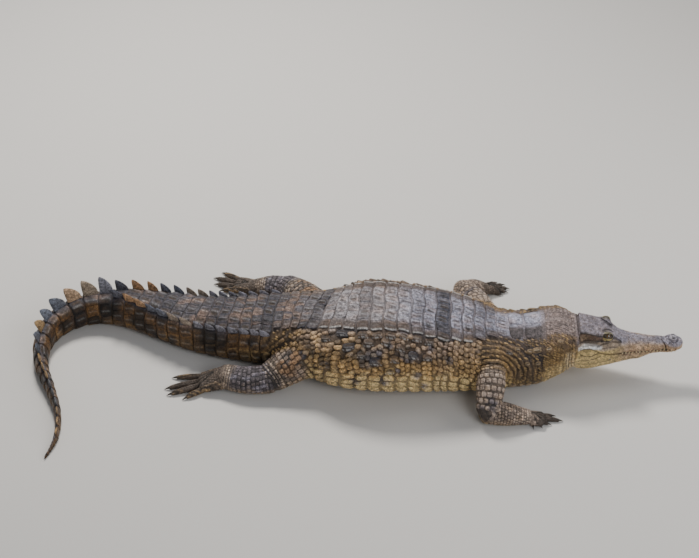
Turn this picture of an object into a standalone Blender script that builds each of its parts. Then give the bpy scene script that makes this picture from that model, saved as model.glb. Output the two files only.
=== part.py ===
"""A slender-snouted crocodile resting on its belly: a still museum model at life size.

Metres, +Z up, floor at z = 0. +X runs from the tail towards the head, +Y is the animal's left.
The body is one smooth form cut across into named lengths, with a thin gap at every cut.
"""
import bpy
import bmesh
from math import copysign, cos, pi, radians, sin, tan
from mathutils import Matrix, Vector

# Driving dimensions, metres
GAP = 0.0003            # cut between neighbouring parts
SINK = 0.004            # how far soft undersides are pressed before the floor flattens them
BODY_SIDES = 24         # points round a body section
BODY_STEP = 0.030       # distance between body sections
LIMB_SIDES = 10
DIGIT_SIDES = 6
HEAD_TURN = radians(2.6)      # the head looks slightly to its left
HEAD_DROOP = radians(2.5)     # and slopes gently down to the snout
JAW_HEIGHT = 0.098            # mouth line at the back of the head, above the floor
EYE_RADIUS = 0.0088
CLAW = 0.013                  # length of a hind claw
NECK_BLEND = 0.06             # length of neck that turns to face the head

# The trunk and tail, from the back of the head to the tail's tip.
# Each row: x, y, half width, height of the back, clearance under the belly, squareness.
BODY = [
    (0.4995, 0.030, 0.064, 0.144, 0.044, 2.3),
    (0.482, 0.031, 0.076, 0.152, 0.030, 2.3),
    (0.455, 0.031, 0.085, 0.150, 0.014, 2.3),
    (0.425, 0.029, 0.088, 0.138, 0.003, 2.4),
    (0.390, 0.026, 0.089, 0.133, -SINK, 2.4),
    (0.350, 0.021, 0.094, 0.138, -SINK, 2.4),
    (0.306, 0.018, 0.106, 0.152, -SINK, 2.4),
    (0.240, 0.017, 0.118, 0.168, -SINK, 2.4),
    (0.150, 0.015, 0.129, 0.182, -SINK, 2.4),
    (0.080, 0.013, 0.132, 0.186, -SINK, 2.4),
    (0.020, 0.014, 0.125, 0.178, -SINK, 2.4),
    (-0.030, 0.022, 0.110, 0.160, -SINK, 2.4),
    (-0.080, 0.033, 0.094, 0.144, -SINK, 2.5),
    (-0.150, 0.040, 0.079, 0.129, -SINK, 2.6),
    (-0.230, 0.044, 0.067, 0.116, -SINK, 2.8),
    (-0.312, 0.056, 0.059, 0.105, -SINK, 2.8),
    (-0.400, 0.083, 0.050, 0.094, -SINK, 2.7),
    (-0.480, 0.105, 0.040, 0.085, -SINK, 2.5),
    (-0.549, 0.106, 0.031, 0.077, -SINK, 2.3),
    (-0.602, 0.086, 0.026, 0.070, -SINK, 2.3),
    (-0.642, 0.042, 0.022, 0.063, -SINK, 2.3),
    (-0.655, -0.015, 0.019, 0.055, -SINK, 2.3),
    (-0.641, -0.078, 0.015, 0.046, -SINK, 2.2),
    (-0.606, -0.142, 0.011, 0.037, -SINK, 2.2),
    (-0.576, -0.205, 0.008, 0.028, -SINK, 2.2),
    (-0.565, -0.270, 0.005, 0.018, -SINK, 2.2),
    (-0.578, -0.333, 0.0018, 0.006, -SINK, 2.0),
]

# The named lengths of the body, and how far behind the head each one starts
LENGTHS = ["neck", "chest", "belly", "hips", "tail_base", "tail_second", "tail_third",
           "tail_fourth", "tail_fifth", "tail_tip"]
CUTS = [0.0, 0.125, 0.315, 0.485, 0.640, 0.810, 0.960, 1.060, 1.170, 1.290]
RINGS = {"tail_base": 7, "tail_second": 5, "tail_third": 3, "tail_fourth": 3, "tail_fifth": 4, "tail_tip": 9}
CREST_START = 0.640     # where the two rows of crest blades begin to rise
CREST_JOIN = 1.027      # where they become one
CREST_END = 1.510       # where it has died away
CREST_TILT = 0.5        # lean of the single crest to the outside of the tail's bend
BLADE = 0.0016          # half thickness of a crest blade

# The head, back to front, half sections in millimetres.
# Upper: lip, cheek, temple, under the table, table edge, table, middle line, each (out, up).
UPPER = [
    (-14, (53, 4), (55, 14), (51, 24), (42, 31), (35, 39), (18, 43), (0, 44)),
    (-2, (54, 6), (55, 14), (49, 22), (37, 27), (30, 40), (16, 44), (0, 44.5)),
    (1, (54, 7), (55, 14), (49, 22), (36, 26), (29.5, 45.5), (15, 47), (0, 47)),
    (25, (52, 14.5), (52, 18), (46, 23), (35, 25), (28.5, 42.5), (14.5, 44), (0, 43.5)),
    (44, (48, 8), (47.5, 13), (40.5, 20), (33, 23), (27.5, 40), (14, 41), (0, 40)),
    (59, (44, 1), (43, 8), (37, 18), (33.5, 26), (25, 44), (13, 40), (0, 36)),
    (72, (40, -2), (38.5, 5), (33, 14), (28, 22), (19, 33.5), (10, 31.5), (0, 30.5)),
    (80, (37.5, -3.2), (36, 3), (30.5, 11.5), (25, 18.5), (17, 26), (8.5, 26), (0, 26)),
    (90, (34.5, -4.2), (33.5, 2), (28.5, 9), (22.5, 15), (15, 20), (7, 21), (0, 21)),
    (108, (30, -5.5), (29.5, 0), (25, 6), (19, 11), (12.5, 14.5), (6, 16), (0, 16.5)),
    (135, (25, -6), (25, -1), (21.5, 4), (17, 8), (11, 11), (5.5, 12.5), (0, 13)),
    (160, (20.5, -5.5), (21, -1), (18.5, 3), (15, 7), (10, 10), (5, 11.5), (0, 12)),
    (176, (18, -4.5), (18.5, -0.5), (17, 4), (14, 8.5), (9.5, 12), (5, 13.5), (0, 14)),
    (186, (14, -4), (14.6, 0), (14.3, 4), (12.8, 8.5), (9.5, 12), (5, 13.8), (0, 14)),
    (198, (18.8, -4), (19.8, 1), (18.8, 6.5), (15.5, 12), (11, 16), (6, 18), (0, 17.5)),
    (212, (16.5, -3.5), (17.5, 1.5), (16.5, 6.5), (13.5, 11.5), (10, 15), (5.5, 17), (0, 16.5)),
    (221, (10, -2.5), (11, 2), (10.5, 6), (9, 10), (7, 13), (3.5, 14), (0, 14)),
    (226, (3, 1), (3.5, 3), (3.3, 5), (3, 6.5), (2.5, 8), (1.2, 8.5), (0, 8.5)),
]

# Lower: lip, side, lower side, under edge, middle line
LOWER = [
    (-14, (51, 4), (55, -9), (53, -28), (37, -42), (0, -45)),
    (0, (52, 6.5), (56, -10), (54, -34), (40, -48), (0, -50)),
    (25, (50, 14), (54, -10), (52, -35), (38, -49), (0, -51)),
    (48, (45, 5), (48.5, -11), (46, -33), (34, -46), (0, -48)),
    (72, (38, -2), (40.5, -12), (38.5, -32), (28, -43), (0, -45)),
    (86, (34, -4), (36.5, -13), (34, -31), (24, -41), (0, -43)),
    (108, (27.5, -5.5), (30.5, -13), (28.5, -27), (20, -36.5), (0, -38)),
    (135, (22, -6), (25.5, -12), (24, -23), (16, -31.5), (0, -33)),
    (148, (19, -6), (22, -11), (20.5, -18.5), (13.5, -25.5), (0, -27)),
    (160, (17, -5.5), (19.5, -9.5), (18, -14.5), (12, -20), (0, -21)),
    (176, (15, -4.5), (17, -8), (16, -12.5), (10.5, -17), (0, -18)),
    (192, (15, -4), (16.8, -7.5), (15.8, -11.5), (10, -15.5), (0, -16.5)),
    (208, (12.5, -3.5), (13.8, -6.5), (13, -10.5), (8, -14), (0, -14.5)),
    (218, (7, -3), (8, -6), (7.5, -8.5), (5, -11), (0, -11.5)),
    (222, (2, -3), (2.8, -5), (2.6, -6.5), (2, -8), (0, -8.5)),
]

# Where the head's sections stand, millimetres
HEAD_PLACES = [-14, -2, 1, 12, 25, 36, 48, 59, 66, 72, 80, 90, 108, 121, 135, 148, 160, 176, 181, 186, 191, 198,
               205, 212, 217, 221]

# The mouth line that both jaws share: along, up
MOUTH = [(-14, 4), (0, 7), (12, 13.5), (24, 14.5), (38, 9), (50, 3.5), (72, -2), (108, -5.5), (135, -6), (160, -5.5),
         (186, -4), (198, -4), (212, -3.5), (226, -1)]

# Limbs: x, y, z, half width, half height from the shoulder or hip outwards
LIMBS = {
    "right_fore": [
        ("upper_arm", [(0.326, -0.045, 0.090, 0.034, 0.034), (0.331, -0.096, 0.068, 0.031, 0.031),
                       (0.329, -0.134, 0.036, 0.027, 0.027)]),
        ("forearm", [(0.329, -0.136, 0.026, 0.026, 0.025), (0.365, -0.135, 0.022, 0.026, 0.023),
                     (0.416, -0.132, 0.014, 0.018, 0.013)]),
    ],
    "left_fore": [
        ("upper_arm", [(0.322, 0.080, 0.086, 0.033, 0.032), (0.297, 0.155, 0.072, 0.028, 0.027),
                       (0.267, 0.224, 0.047, 0.024, 0.024)]),
        ("forearm", [(0.268, 0.234, 0.032, 0.023, 0.026), (0.293, 0.256, 0.024, 0.023, 0.022),
                     (0.318, 0.270, 0.014, 0.017, 0.013)]),
    ],
    "right_hind": [
        ("thigh", [(-0.036, -0.030, 0.086, 0.050, 0.046), (-0.086, -0.052, 0.058, 0.044, 0.042),
                   (-0.130, -0.076, 0.036, 0.035, 0.034)]),
        ("shank", [(-0.142, -0.083, 0.030, 0.032, 0.030), (-0.190, -0.088, 0.028, 0.030, 0.028),
                   (-0.234, -0.080, 0.026, 0.028, 0.026)]),
    ],
    "left_hind": [
        ("thigh", [(-0.050, 0.085, 0.080, 0.044, 0.042), (-0.090, 0.150, 0.062, 0.036, 0.035),
                   (-0.132, 0.203, 0.040, 0.030, 0.030)]),
        ("shank", [(-0.138, 0.208, 0.032, 0.029, 0.028), (-0.172, 0.216, 0.029, 0.028, 0.026),
                   (-0.212, 0.224, 0.019, 0.021, 0.018)]),
    ],
}

# Hands and feet: palm points (x, y, z, half width, half height), then digit roots and tips
FEET = {
    "right_fore": ("hand", [(0.420, -0.132, 0.012, 0.018, 0.012), (0.440, -0.132, 0.010, 0.021, 0.010)],
                   [((0.440, -0.119), (0.474, -0.113)), ((0.446, -0.126), (0.489, -0.127)),
                    ((0.444, -0.135), (0.465, -0.141)), ((0.436, -0.142), (0.445, -0.151)),
                    ((0.424, -0.145), (0.426, -0.156))]),
    "left_fore": ("hand", [(0.322, 0.272, 0.012, 0.017, 0.012), (0.340, 0.280, 0.010, 0.019, 0.010)],
                  [((0.344, 0.268), (0.362, 0.262)), ((0.350, 0.275), (0.374, 0.273)),
                   ((0.350, 0.283), (0.377, 0.288)), ((0.344, 0.290), (0.366, 0.302)),
                   ((0.334, 0.293), (0.348, 0.310))]),
    "right_hind": ("foot", [(-0.242, -0.080, 0.022, 0.027, 0.022), (-0.284, -0.087, 0.012, 0.030, 0.012)],
                   [((-0.292, -0.066), (-0.358, -0.071)), ((-0.302, -0.084), (-0.368, -0.107)),
                    ((-0.300, -0.098), (-0.360, -0.125)), ((-0.288, -0.108), (-0.324, -0.135))]),
    "left_hind": ("foot", [(-0.216, 0.225, 0.016, 0.021, 0.016), (-0.254, 0.238, 0.011, 0.027, 0.011)],
                  [((-0.264, 0.222), (-0.300, 0.222)), ((-0.272, 0.235), (-0.316, 0.244)),
                   ((-0.270, 0.249), (-0.320, 0.266)), ((-0.258, 0.260), (-0.304, 0.287))]),
}


def clear_scene():
    for old in list(bpy.data.objects):
        bpy.data.objects.remove(old, do_unlink=True)


def material(name, colour, roughness):
    made = bpy.data.materials.new(name)
    made.use_nodes = True
    shader = made.node_tree.nodes["Principled BSDF"]
    shader.inputs["Base Color"].default_value = (*colour, 1.0)
    shader.inputs["Roughness"].default_value = roughness
    shader.inputs["Metallic"].default_value = 0.0
    return made


def smooth_row(rows, at):
    """The row at a fractional index, on a curve through all rows."""
    last = len(rows) - 1
    at = min(max(at, 0.0), last)
    low = min(int(at), last - 1)
    t = at - low
    a = rows[max(low - 1, 0)]
    b = rows[low]
    c = rows[low + 1]
    d = rows[min(low + 2, last)]
    out = []
    for p, q, r, s in zip(a, b, c, d):
        out.append(q + 0.5 * t * (r - p + t * (2 * p - 5 * q + 4 * r - s + t * (3 * (q - r) + s - p))))
    return out


def body_table():
    """Evenly spaced rows down the body, each led by its distance from the head."""
    fine = []
    along = 0.0
    previous = None
    steps = 12
    for index in range((len(BODY) - 1) * steps + 1):
        row = smooth_row(BODY, index / steps)
        if previous:
            along += ((row[0] - previous[0]) ** 2 + (row[1] - previous[1]) ** 2) ** 0.5
        fine.append((along, *row))
        previous = row
    return fine


TABLE = body_table()
BODY_LENGTH = TABLE[-1][0]


def body_at(along):
    along = min(max(along, 0.0), BODY_LENGTH)
    for low, high in zip(TABLE, TABLE[1:]):
        if high[0] >= along:
            break
    share = (along - low[0]) / max(high[0] - low[0], 1e-9)
    return [p + (q - p) * share for p, q in zip(low, high)][1:]


def heading_at(along):
    """Unit vector along the floor from tail to head; the neck's front faces the head squarely."""
    ahead = body_at(along - 0.004)
    behind = body_at(along + 0.004)
    route = Vector((ahead[0] - behind[0], ahead[1] - behind[1], 0)).normalized()
    share = max(0.0, 1 - along / NECK_BLEND)
    return route.lerp(Vector((cos(HEAD_TURN), sin(HEAD_TURN), 0)), share).normalized()


def round_part(angle, width, height, power):
    c = cos(angle)
    s = sin(angle)
    return (copysign(abs(c) ** (2 / power), c) * width, copysign(abs(s) ** (2 / power), s) * height)


def body_ring(along, grow=0.0):
    """One closed section of the body, flattened where it meets the floor."""
    x, y, half, top, clear, square = body_at(along)
    forward = heading_at(along)
    left = Vector((-forward.y, forward.x, 0))
    middle = clear + 0.46 * (top - clear)
    ring = []
    for index in range(BODY_SIDES):
        angle = 2 * pi * index / BODY_SIDES
        height = (top - middle if angle < pi else middle - clear) + grow
        out, up = round_part(angle, half + grow, height, square)
        point = Vector((x, y, middle + up)) + left * out
        point.z = max(point.z, -grow)
        ring.append(point)
    return ring


def loft(rings):
    """A closed solid through a list of rings of equal length."""
    work = bmesh.new()
    made = []
    for ring in rings:
        verts = [work.verts.new(point) for point in ring]
        for one, two in zip(verts, verts[1:] + verts[:1]):
            work.edges.new((one, two))
        made.append(verts)
    for low, high in zip(made, made[1:]):
        count = len(low)
        for index in range(count):
            after = (index + 1) % count
            work.faces.new((low[index], low[after], high[after], high[index]))
    work.faces.new(made[0][::-1])
    work.faces.new(made[-1])
    bmesh.ops.recalc_face_normals(work, faces=work.faces)
    return work


def to_object(work, name, finish):
    bmesh.ops.recalc_face_normals(work, faces=work.faces)
    mesh = bpy.data.meshes.new(name)
    work.to_mesh(mesh)
    work.free()
    made = bpy.data.objects.new(name, mesh)
    mesh.materials.append(finish)
    bpy.context.scene.collection.objects.link(made)
    return made


def combine(target, others, kind):
    """Join, or cut with, a list of closed solids in one go, then drop them."""
    group = bpy.data.collections.new("operands")
    for other in others:
        group.objects.link(other)
    change = target.modifiers.new(kind, "BOOLEAN")
    change.operation = kind
    change.solver = "EXACT"
    change.operand_type = "COLLECTION"
    change.collection = group
    bpy.context.view_layer.update()
    done = bpy.data.meshes.new_from_object(target.evaluated_get(bpy.context.evaluated_depsgraph_get()))
    target.modifiers.clear()
    target.data = done
    for other in others:
        bpy.data.objects.remove(other, do_unlink=True)
    bpy.data.collections.remove(group)
    work = bmesh.new()
    work.from_mesh(target.data)
    bmesh.ops.remove_doubles(work, verts=work.verts, dist=0.000002)
    bmesh.ops.dissolve_degenerate(work, edges=work.edges, dist=0.000002)
    bmesh.ops.triangulate(work, faces=work.faces)
    if kind == "DIFFERENCE":
        keep_largest(work)
    work.to_mesh(target.data)
    work.free()


def keep_largest(work):
    """Drop the slivers that a cut leaves beyond the cutter."""
    waiting = set(work.verts)
    islands = []
    while waiting:
        island = {waiting.pop()}
        edge = list(island)
        while edge:
            near = {link.other_vert(vert) for vert in edge for link in vert.link_edges} - island
            island |= near
            edge = list(near)
        waiting -= island
        islands.append(island)
    islands.sort(key=len)
    for island in islands[:-1]:
        bmesh.ops.delete(work, geom=list(island), context="VERTS")


# ---- Head -------------------------------------------------------------------------------

def head_place(u, out, up, side):
    """A point of the head, from millimetres along, out and up, to the world."""
    start = BODY[0]
    origin = Vector((start[0], start[1], JAW_HEIGHT))
    forward = Vector((cos(HEAD_TURN), sin(HEAD_TURN), 0))
    left = Vector((-forward.y, forward.x, 0))
    ahead = (u - UPPER[0][0]) / 1000
    drop = Vector((0, 0, up / 1000 - ahead * tan(HEAD_DROOP)))
    return origin + forward * (ahead + GAP) + left * (side * out / 1000) + drop


def at_station(table, u):
    """Every value of a table at u, on a smooth curve through its rows."""
    rows = [[row[0]] + [value for pair in row[1:] for value in (pair if isinstance(pair, tuple) else (pair,))]
            for row in table]
    low = max(index for index, row in enumerate(rows[:-1]) if row[0] <= u or index == 0)
    b = rows[low]
    c = rows[low + 1]
    a = rows[max(low - 1, 0)]
    d = rows[min(low + 2, len(rows) - 1)]
    wide = c[0] - b[0]
    t = (u - b[0]) / wide
    out = []
    for p, q, r, s in zip(a[1:], b[1:], c[1:], d[1:]):
        start = (r - p) / max(c[0] - a[0], 1e-9) * wide
        finish = (s - q) / max(d[0] - b[0], 1e-9) * wide
        out.append(q + t * (start + t * (3 * (r - q) - 2 * start - finish + t * (2 * (q - r) + start + finish))))
    return out


def head_half(table, u, lift):
    """Half a section as (out, up) pairs, its first point on the shared mouth line."""
    values = at_station(table, u)
    half = list(zip(values[0::2], values[1::2]))
    half[0] = (half[0][0], at_station(MOUTH, u)[0] + lift)
    return half


def head_rings(table, lift):
    """Whole sections from half ones, closed along the mouth line, a little above or below it."""
    rings = []
    last = table[-1][0]
    places = [u for u in HEAD_PLACES if u < last] + [last]
    for u in places:
        half = head_half(table, u, lift)
        ring = [head_place(u, out, up, 1) for out, up in half]
        ring += [head_place(u, out, up, -1) for out, up in half[-2::-1]]
        rings.append(ring)
    return rings


def cone(root, tip, radius, sides, finish, name):
    """A sharp cone for a tooth or a claw."""
    work = bmesh.new()
    length = (tip - root).length
    bmesh.ops.create_cone(work, cap_ends=True, segments=sides, radius1=radius, radius2=0.0004, depth=length)
    turn = (tip - root).to_track_quat("Z", "Y").to_matrix().to_4x4()
    bmesh.ops.transform(work, matrix=Matrix.Translation((root + tip) / 2) @ turn, verts=work.verts)
    return to_object(work, name, finish)


def eyeball(side, grow, finish, name):
    work = bmesh.new()
    centre = head_place(59, 25.5, 34.0, side)
    bmesh.ops.create_uvsphere(work, u_segments=10, v_segments=7, radius=EYE_RADIUS + grow,
                              matrix=Matrix.Translation(centre))
    return to_object(work, name, finish)


def nostril_disc(side, finish):
    work = bmesh.new()
    centre = head_place(203, 5.2, 18.0, side)
    bmesh.ops.create_uvsphere(work, u_segments=8, v_segments=5, radius=0.0052,
                              matrix=Matrix.Translation(centre) @ Matrix.Diagonal((1.3, 1, 0.6, 1)))
    return to_object(work, "nostril", finish)


def build_head(skin, eye):
    upper = to_object(loft(head_rings(UPPER, GAP * 500)), "skull", skin)
    lower = to_object(loft(head_rings(LOWER, -GAP * 500)), "lower_jaw", skin)
    teeth = []
    for side in (1, -1):
        for index in range(7):
            u = 104 + 11.5 * index
            out, up = head_half(UPPER, u, 0)[0]
            teeth.append(cone(head_place(u, out - 1.1, up + 2.5, side),
                              head_place(u, out - 0.2, up - 3.4, side), 0.0012, 4, skin, "tooth"))
    discs = [nostril_disc(side, skin) for side in (1, -1)]
    combine(upper, teeth + discs, "UNION")
    combine(upper, [eyeball(side, GAP, eye, "socket") for side in (1, -1)], "DIFFERENCE")
    eyeball(1, 0, eye, "eye_left")
    eyeball(-1, 0, eye, "eye_right")
    fangs = [cone(head_place(185, 14.2, -11, side), head_place(187, 18.4, 1.5, side), 0.0015, 6, skin, "fang")
             for side in (1, -1)]
    combine(lower, fangs, "UNION")


# ---- Body -------------------------------------------------------------------------------

def spread(start, end):
    count = max(2, round((end - start) / BODY_STEP))
    return [start + (end - start) * index / count for index in range(count + 1)]


def crest_blade(along, side, spacing, height, length, tilt):
    """One upright, backward-leaning scute of the tail's crest, as a thin closed wedge."""
    x, y, half, top, clear, square = body_at(along)
    forward = heading_at(along)
    left = Vector((-forward.y, forward.x, 0))
    middle = clear + 0.46 * (top - clear)
    surface = middle + (top - middle) * (1 - (spacing / half) ** square) ** (1 / square)
    foot = Vector((x, y, surface - 0.005)) + left * (side * spacing)
    lean = left * (tilt * height)
    work = bmesh.new()
    rise = top - 0.25 * spacing * spacing / half + height - foot.z
    outline = [(0.5, 0.0), (0.30, 0.52), (-0.10, 0.92), (-0.42, 1.0), (-0.50, 0.0)]
    sides = []
    for face in (1, -1):
        loop = []
        for ahead, up in outline:
            wide = BLADE * (1.6 - 1.1 * up) * face
            loop.append(work.verts.new(foot + forward * (ahead * length) + lean * up
                                       + Vector((0, 0, rise * up)) + left * wide))
        sides.append(loop)
    count = len(outline)
    for index in range(count):
        after = (index + 1) % count
        work.faces.new((sides[0][index], sides[0][after], sides[1][after], sides[1][index]))
    work.faces.new(sides[0][::-1])
    work.faces.new(sides[1])
    return work


def crest_rows():
    """Every blade of the crest: distance along, side, spacing from the middle, height, length, tilt."""
    blades = []
    for name, start, end in zip(LENGTHS, CUTS, CUTS[1:] + [CREST_END]):
        for ring in range(RINGS.get(name, 0)):
            pitch = (end - start) / RINGS[name]
            along = start + pitch * (ring + 0.5)
            share = (along - CREST_START) / (CREST_JOIN - CREST_START)
            if share < 1:
                spacing = body_at(along)[2] * (0.84 - 0.60 * share ** 4)
                height = 0.004 + 0.020 * share ** 1.3
                blades += [(along, side, spacing, height, 0.84 * pitch, 0.18 * side) for side in (1, -1)]
            else:
                left = (CREST_END - along) / (CREST_END - CREST_JOIN)
                tilt = CREST_TILT * min(1, max(0, (1.34 - along) / 0.13))
                blades.append((along, 0, 0.0, 0.034 * left ** 0.6, 0.88 * pitch, tilt))
    return blades


def body_spans():
    """Where each length starts and ends, with half a gap left at every cut."""
    for name, start, end in zip(LENGTHS, CUTS, CUTS[1:] + [BODY_LENGTH]):
        first = start + (GAP / 2 if start else 0)
        last = end - (GAP / 2 if end < BODY_LENGTH else 0)
        yield name, first, last


def build_body(skin):
    blades = crest_rows()
    for name, first, last in body_spans():
        piece = to_object(loft([body_ring(at) for at in spread(first, last)]), name, skin)
        mine = [to_object(crest_blade(*blade), "blade", skin) for blade in blades
                if first < blade[0] < last]
        if mine:
            combine(piece, mine, "UNION")


def body_cutter(skin):
    """The whole body a gap larger all round, to trim the tops of the limbs."""
    places = [at for _, first, last in list(body_spans())[:6] for at in spread(first, last)]
    cutter = to_object(loft([body_ring(at, GAP) for at in places]), "body_cutter", skin)
    cutter.hide_render = True
    cutter.display_type = "WIRE"
    return cutter


# ---- Limbs ------------------------------------------------------------------------------

def tube(points, sides, grow=0.0, blunt=0.85, steps=2, ends=((0.93, 0.42), (0.55, 0.84))):
    """A rounded solid along points of (x, y, z, half width, half height)."""
    count = len(points)
    fine = [smooth_row(points, index / steps) for index in range((count - 1) * steps + 1)]
    centres = [Vector(row[:3]) for row in fine]
    rings = []
    for index, row in enumerate(fine):
        ahead = centres[min(index + 1, len(fine) - 1)] - centres[max(index - 1, 0)]
        ahead.normalize()
        across = Vector((-ahead.y, ahead.x, 0))
        across = across.normalized() if across.length > 0.2 else Vector((0, 1, 0))
        over = ahead.cross(across).normalized()
        wide = row[3] + grow
        high = row[4] + grow
        places = [(0.0, 1.0)]
        if index == 0:
            places = [(-back * blunt, size) for back, size in ends] + places
        if index == len(fine) - 1:
            places = places + [(back * blunt, size) for back, size in reversed(ends)]
        for shift, size in places:
            ring = []
            for step in range(sides):
                out, up = round_part(2 * pi * (step + 0.5) / sides, wide * size, high * size, 2.2)
                ring.append(centres[index] + ahead * (shift * min(wide, high)) + across * out + over * up)
            rings.append(ring)
    return loft(rings)


def digit(root, tip, finish, stout):
    """A toe with its claw, resting on the floor; it starts a little inside the palm."""
    end = Vector((*tip, 0.0010))
    base = Vector((*root, 0.0068 * stout))
    ahead = Vector((end.x - base.x, end.y - base.y, 0)).normalized()
    start = base - ahead * 0.012
    nail = end - ahead * (CLAW * stout)
    nail.z = 0.0046 * stout
    joint = (base + nail) / 2
    toe = tube([(*start, 0.0070 * stout, 0.0076 * stout), (*joint, 0.0064 * stout, 0.0074 * stout),
                (*nail, 0.0046 * stout, 0.0050 * stout)], DIGIT_SIDES, steps=1, ends=((0.8, 0.55),))
    claw = cone(nail - ahead * 0.002, end, 0.0031 * stout, 4, finish, "claw")
    return [to_object(toe, "toe", finish), claw]


def floor_block(finish):
    """Everything under the floor, to leave small flats where the limbs rest."""
    work = bmesh.new()
    bmesh.ops.create_cube(work, size=2.0, matrix=Matrix.Translation((0, 0, -1.0)))
    return to_object(work, "floor_block", finish)


def build_limbs(skin):
    for limb, parts in LIMBS.items():
        cutters = [body_cutter(skin)]
        for part, points in parts:
            piece = to_object(tube(points, LIMB_SIDES), limb + "_" + part, skin)
            combine(piece, cutters + [floor_block(skin)], "DIFFERENCE")
            cutters = [to_object(tube(points, LIMB_SIDES, GAP), "limb_cutter", skin)]
        part, palm, digits = FEET[limb]
        piece = to_object(tube(palm, LIMB_SIDES), limb + "_" + part, skin)
        stout = 0.80 if part == "hand" else 1.0
        toes = []
        for root, tip in digits:
            toes += digit(root, tip, skin, stout)
        combine(piece, toes, "UNION")
        combine(piece, cutters + [floor_block(skin)], "DIFFERENCE")


def centre_on_floor():
    """Move everything so that the model's middle stands over the origin."""
    parts = [made for made in bpy.data.objects if made.type == "MESH" and not made.hide_render]
    corners = [made.matrix_world @ vert.co for made in parts for vert in made.data.vertices]
    shift_x = -(min(p.x for p in corners) + max(p.x for p in corners)) / 2
    shift_y = -(min(p.y for p in corners) + max(p.y for p in corners)) / 2
    for made in parts:
        made.data.transform(Matrix.Translation((shift_x, shift_y, 0)))


clear_scene()
hide = material("hide", (0.30, 0.25, 0.17), 0.62)
eye_gloss = material("eye", (0.45, 0.33, 0.10), 0.15)
build_head(hide, eye_gloss)
build_body(hide)
build_limbs(hide)
centre_on_floor()
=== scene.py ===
from math import cos, pi, radians, sin, tan

import bmesh
import bpy
import numpy as np
from mathutils import Matrix, Vector
from mathutils.bvhtree import BVHTree
from numpy.linalg import norm


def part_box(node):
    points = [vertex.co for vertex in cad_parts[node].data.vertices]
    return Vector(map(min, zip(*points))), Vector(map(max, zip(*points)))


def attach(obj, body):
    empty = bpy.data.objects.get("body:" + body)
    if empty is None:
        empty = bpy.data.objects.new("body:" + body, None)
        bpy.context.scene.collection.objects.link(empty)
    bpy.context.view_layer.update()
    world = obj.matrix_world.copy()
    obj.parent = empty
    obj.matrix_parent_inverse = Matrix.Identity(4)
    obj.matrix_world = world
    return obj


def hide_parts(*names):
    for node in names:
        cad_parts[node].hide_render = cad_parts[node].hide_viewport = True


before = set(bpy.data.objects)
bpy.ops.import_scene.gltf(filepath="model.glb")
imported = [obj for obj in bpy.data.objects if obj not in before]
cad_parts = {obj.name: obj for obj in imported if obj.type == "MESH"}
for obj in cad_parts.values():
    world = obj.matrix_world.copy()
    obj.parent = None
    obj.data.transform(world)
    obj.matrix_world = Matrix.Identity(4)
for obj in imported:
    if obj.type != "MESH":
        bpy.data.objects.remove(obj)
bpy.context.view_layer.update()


# ---- Floor, camera and light ----
# A plain pale floor under soft studio light. The camera looks down on the animal's right
# side from a little ahead of square, and the key light comes from above and behind it.

HEAD_TURN = radians(2.6)
HEAD_DROOP = radians(2.5)
JAW_HEIGHT = 0.098
HEAD_BACK = (0.4998, 0.030)  # back of the head in the body's own plan
EYE_PLACE = (59, 25.5, 34.0)  # eye centre: millimetres along, out, up


def head_point(u, out, up):
    """Points of the head in the body's own plan, from millimetres along, out (left +) and up."""
    ahead = (np.asarray(u) + 14) / 1000
    out = np.asarray(out) / 1000
    x = HEAD_BACK[0] + ahead * cos(HEAD_TURN) - out * sin(HEAD_TURN)
    y = HEAD_BACK[1] + ahead * sin(HEAD_TURN) + out * cos(HEAD_TURN)
    z = JAW_HEIGHT + np.asarray(up) / 1000 - ahead * tan(HEAD_DROOP)
    return np.stack([x, y, z], axis=-1)


# The body's plan is laid out from the trunk. The frame is centred on its own box, so the
# left eye says how far the plan moves.
low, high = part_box("eye_left")
eye_in_plan = head_point(*EYE_PLACE)
SHIFT = np.array([(low[0] + high[0]) / 2 - eye_in_plan[0], (low[1] + high[1]) / 2 - eye_in_plan[1], 0.0])

AIM = Vector((SHIFT[0], 0.2925 + SHIFT[1], 0.0))
CAMERA_AT = AIM + Vector((0.2127, -2.4814, 2.1650))


def point_at(thing, place, aim):
    thing.location = place
    thing.rotation_euler = (aim - place).to_track_quat("-Z", "Y").to_euler()


def in_scene(name, data):
    """A new object of the scene that carries this mesh, camera or light."""
    thing = bpy.data.objects.new(name, data)
    bpy.context.scene.collection.objects.link(thing)
    return thing


LENS_SPREAD = radians(28.04)
camera_data = bpy.data.cameras.new("camera")
camera_data.sensor_width = 36
camera_data.lens = camera_data.sensor_width / 2 / tan(LENS_SPREAD / 2)
camera_data.clip_end = 20
camera = in_scene("camera", camera_data)
point_at(camera, CAMERA_AT, AIM)
bpy.context.scene.camera = camera


def softbox(name, place, aim, size, power, warmth):
    data = bpy.data.lights.new(name, "AREA")
    data.shape = "DISK"
    data.size = size
    data.energy = power
    data.color = warmth
    point_at(in_scene(name, data), Vector(place), Vector(aim))


softbox("key", (-0.8, 1.5, 2.3), (0.05, 0, 0), 0.7, 84, (1.0, 0.97, 0.93))
softbox("fill", (1.6, -1.9, 2.0), (0.1, 0, 0), 1.8, 32, (0.95, 0.97, 1.0))
softbox("head_side", (1.5, 0.5, 1.2), (0.5, 0, 0.1), 0.8, 8, (1.0, 0.98, 0.95))


def feed(node, inputs):
    """Sets each input of a node to a value, or links it to the output that feeds it."""
    for socket, value in inputs.items():
        if isinstance(value, bpy.types.NodeSocket):
            node.id_data.links.new(value, node.inputs[socket])
        else:
            node.inputs[socket].default_value = value


def blank_finish(name):
    """A new material, its node tree and its shader."""
    made = bpy.data.materials.new(name)
    made.use_nodes = True
    return made, made.node_tree, made.node_tree.nodes["Principled BSDF"]


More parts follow.
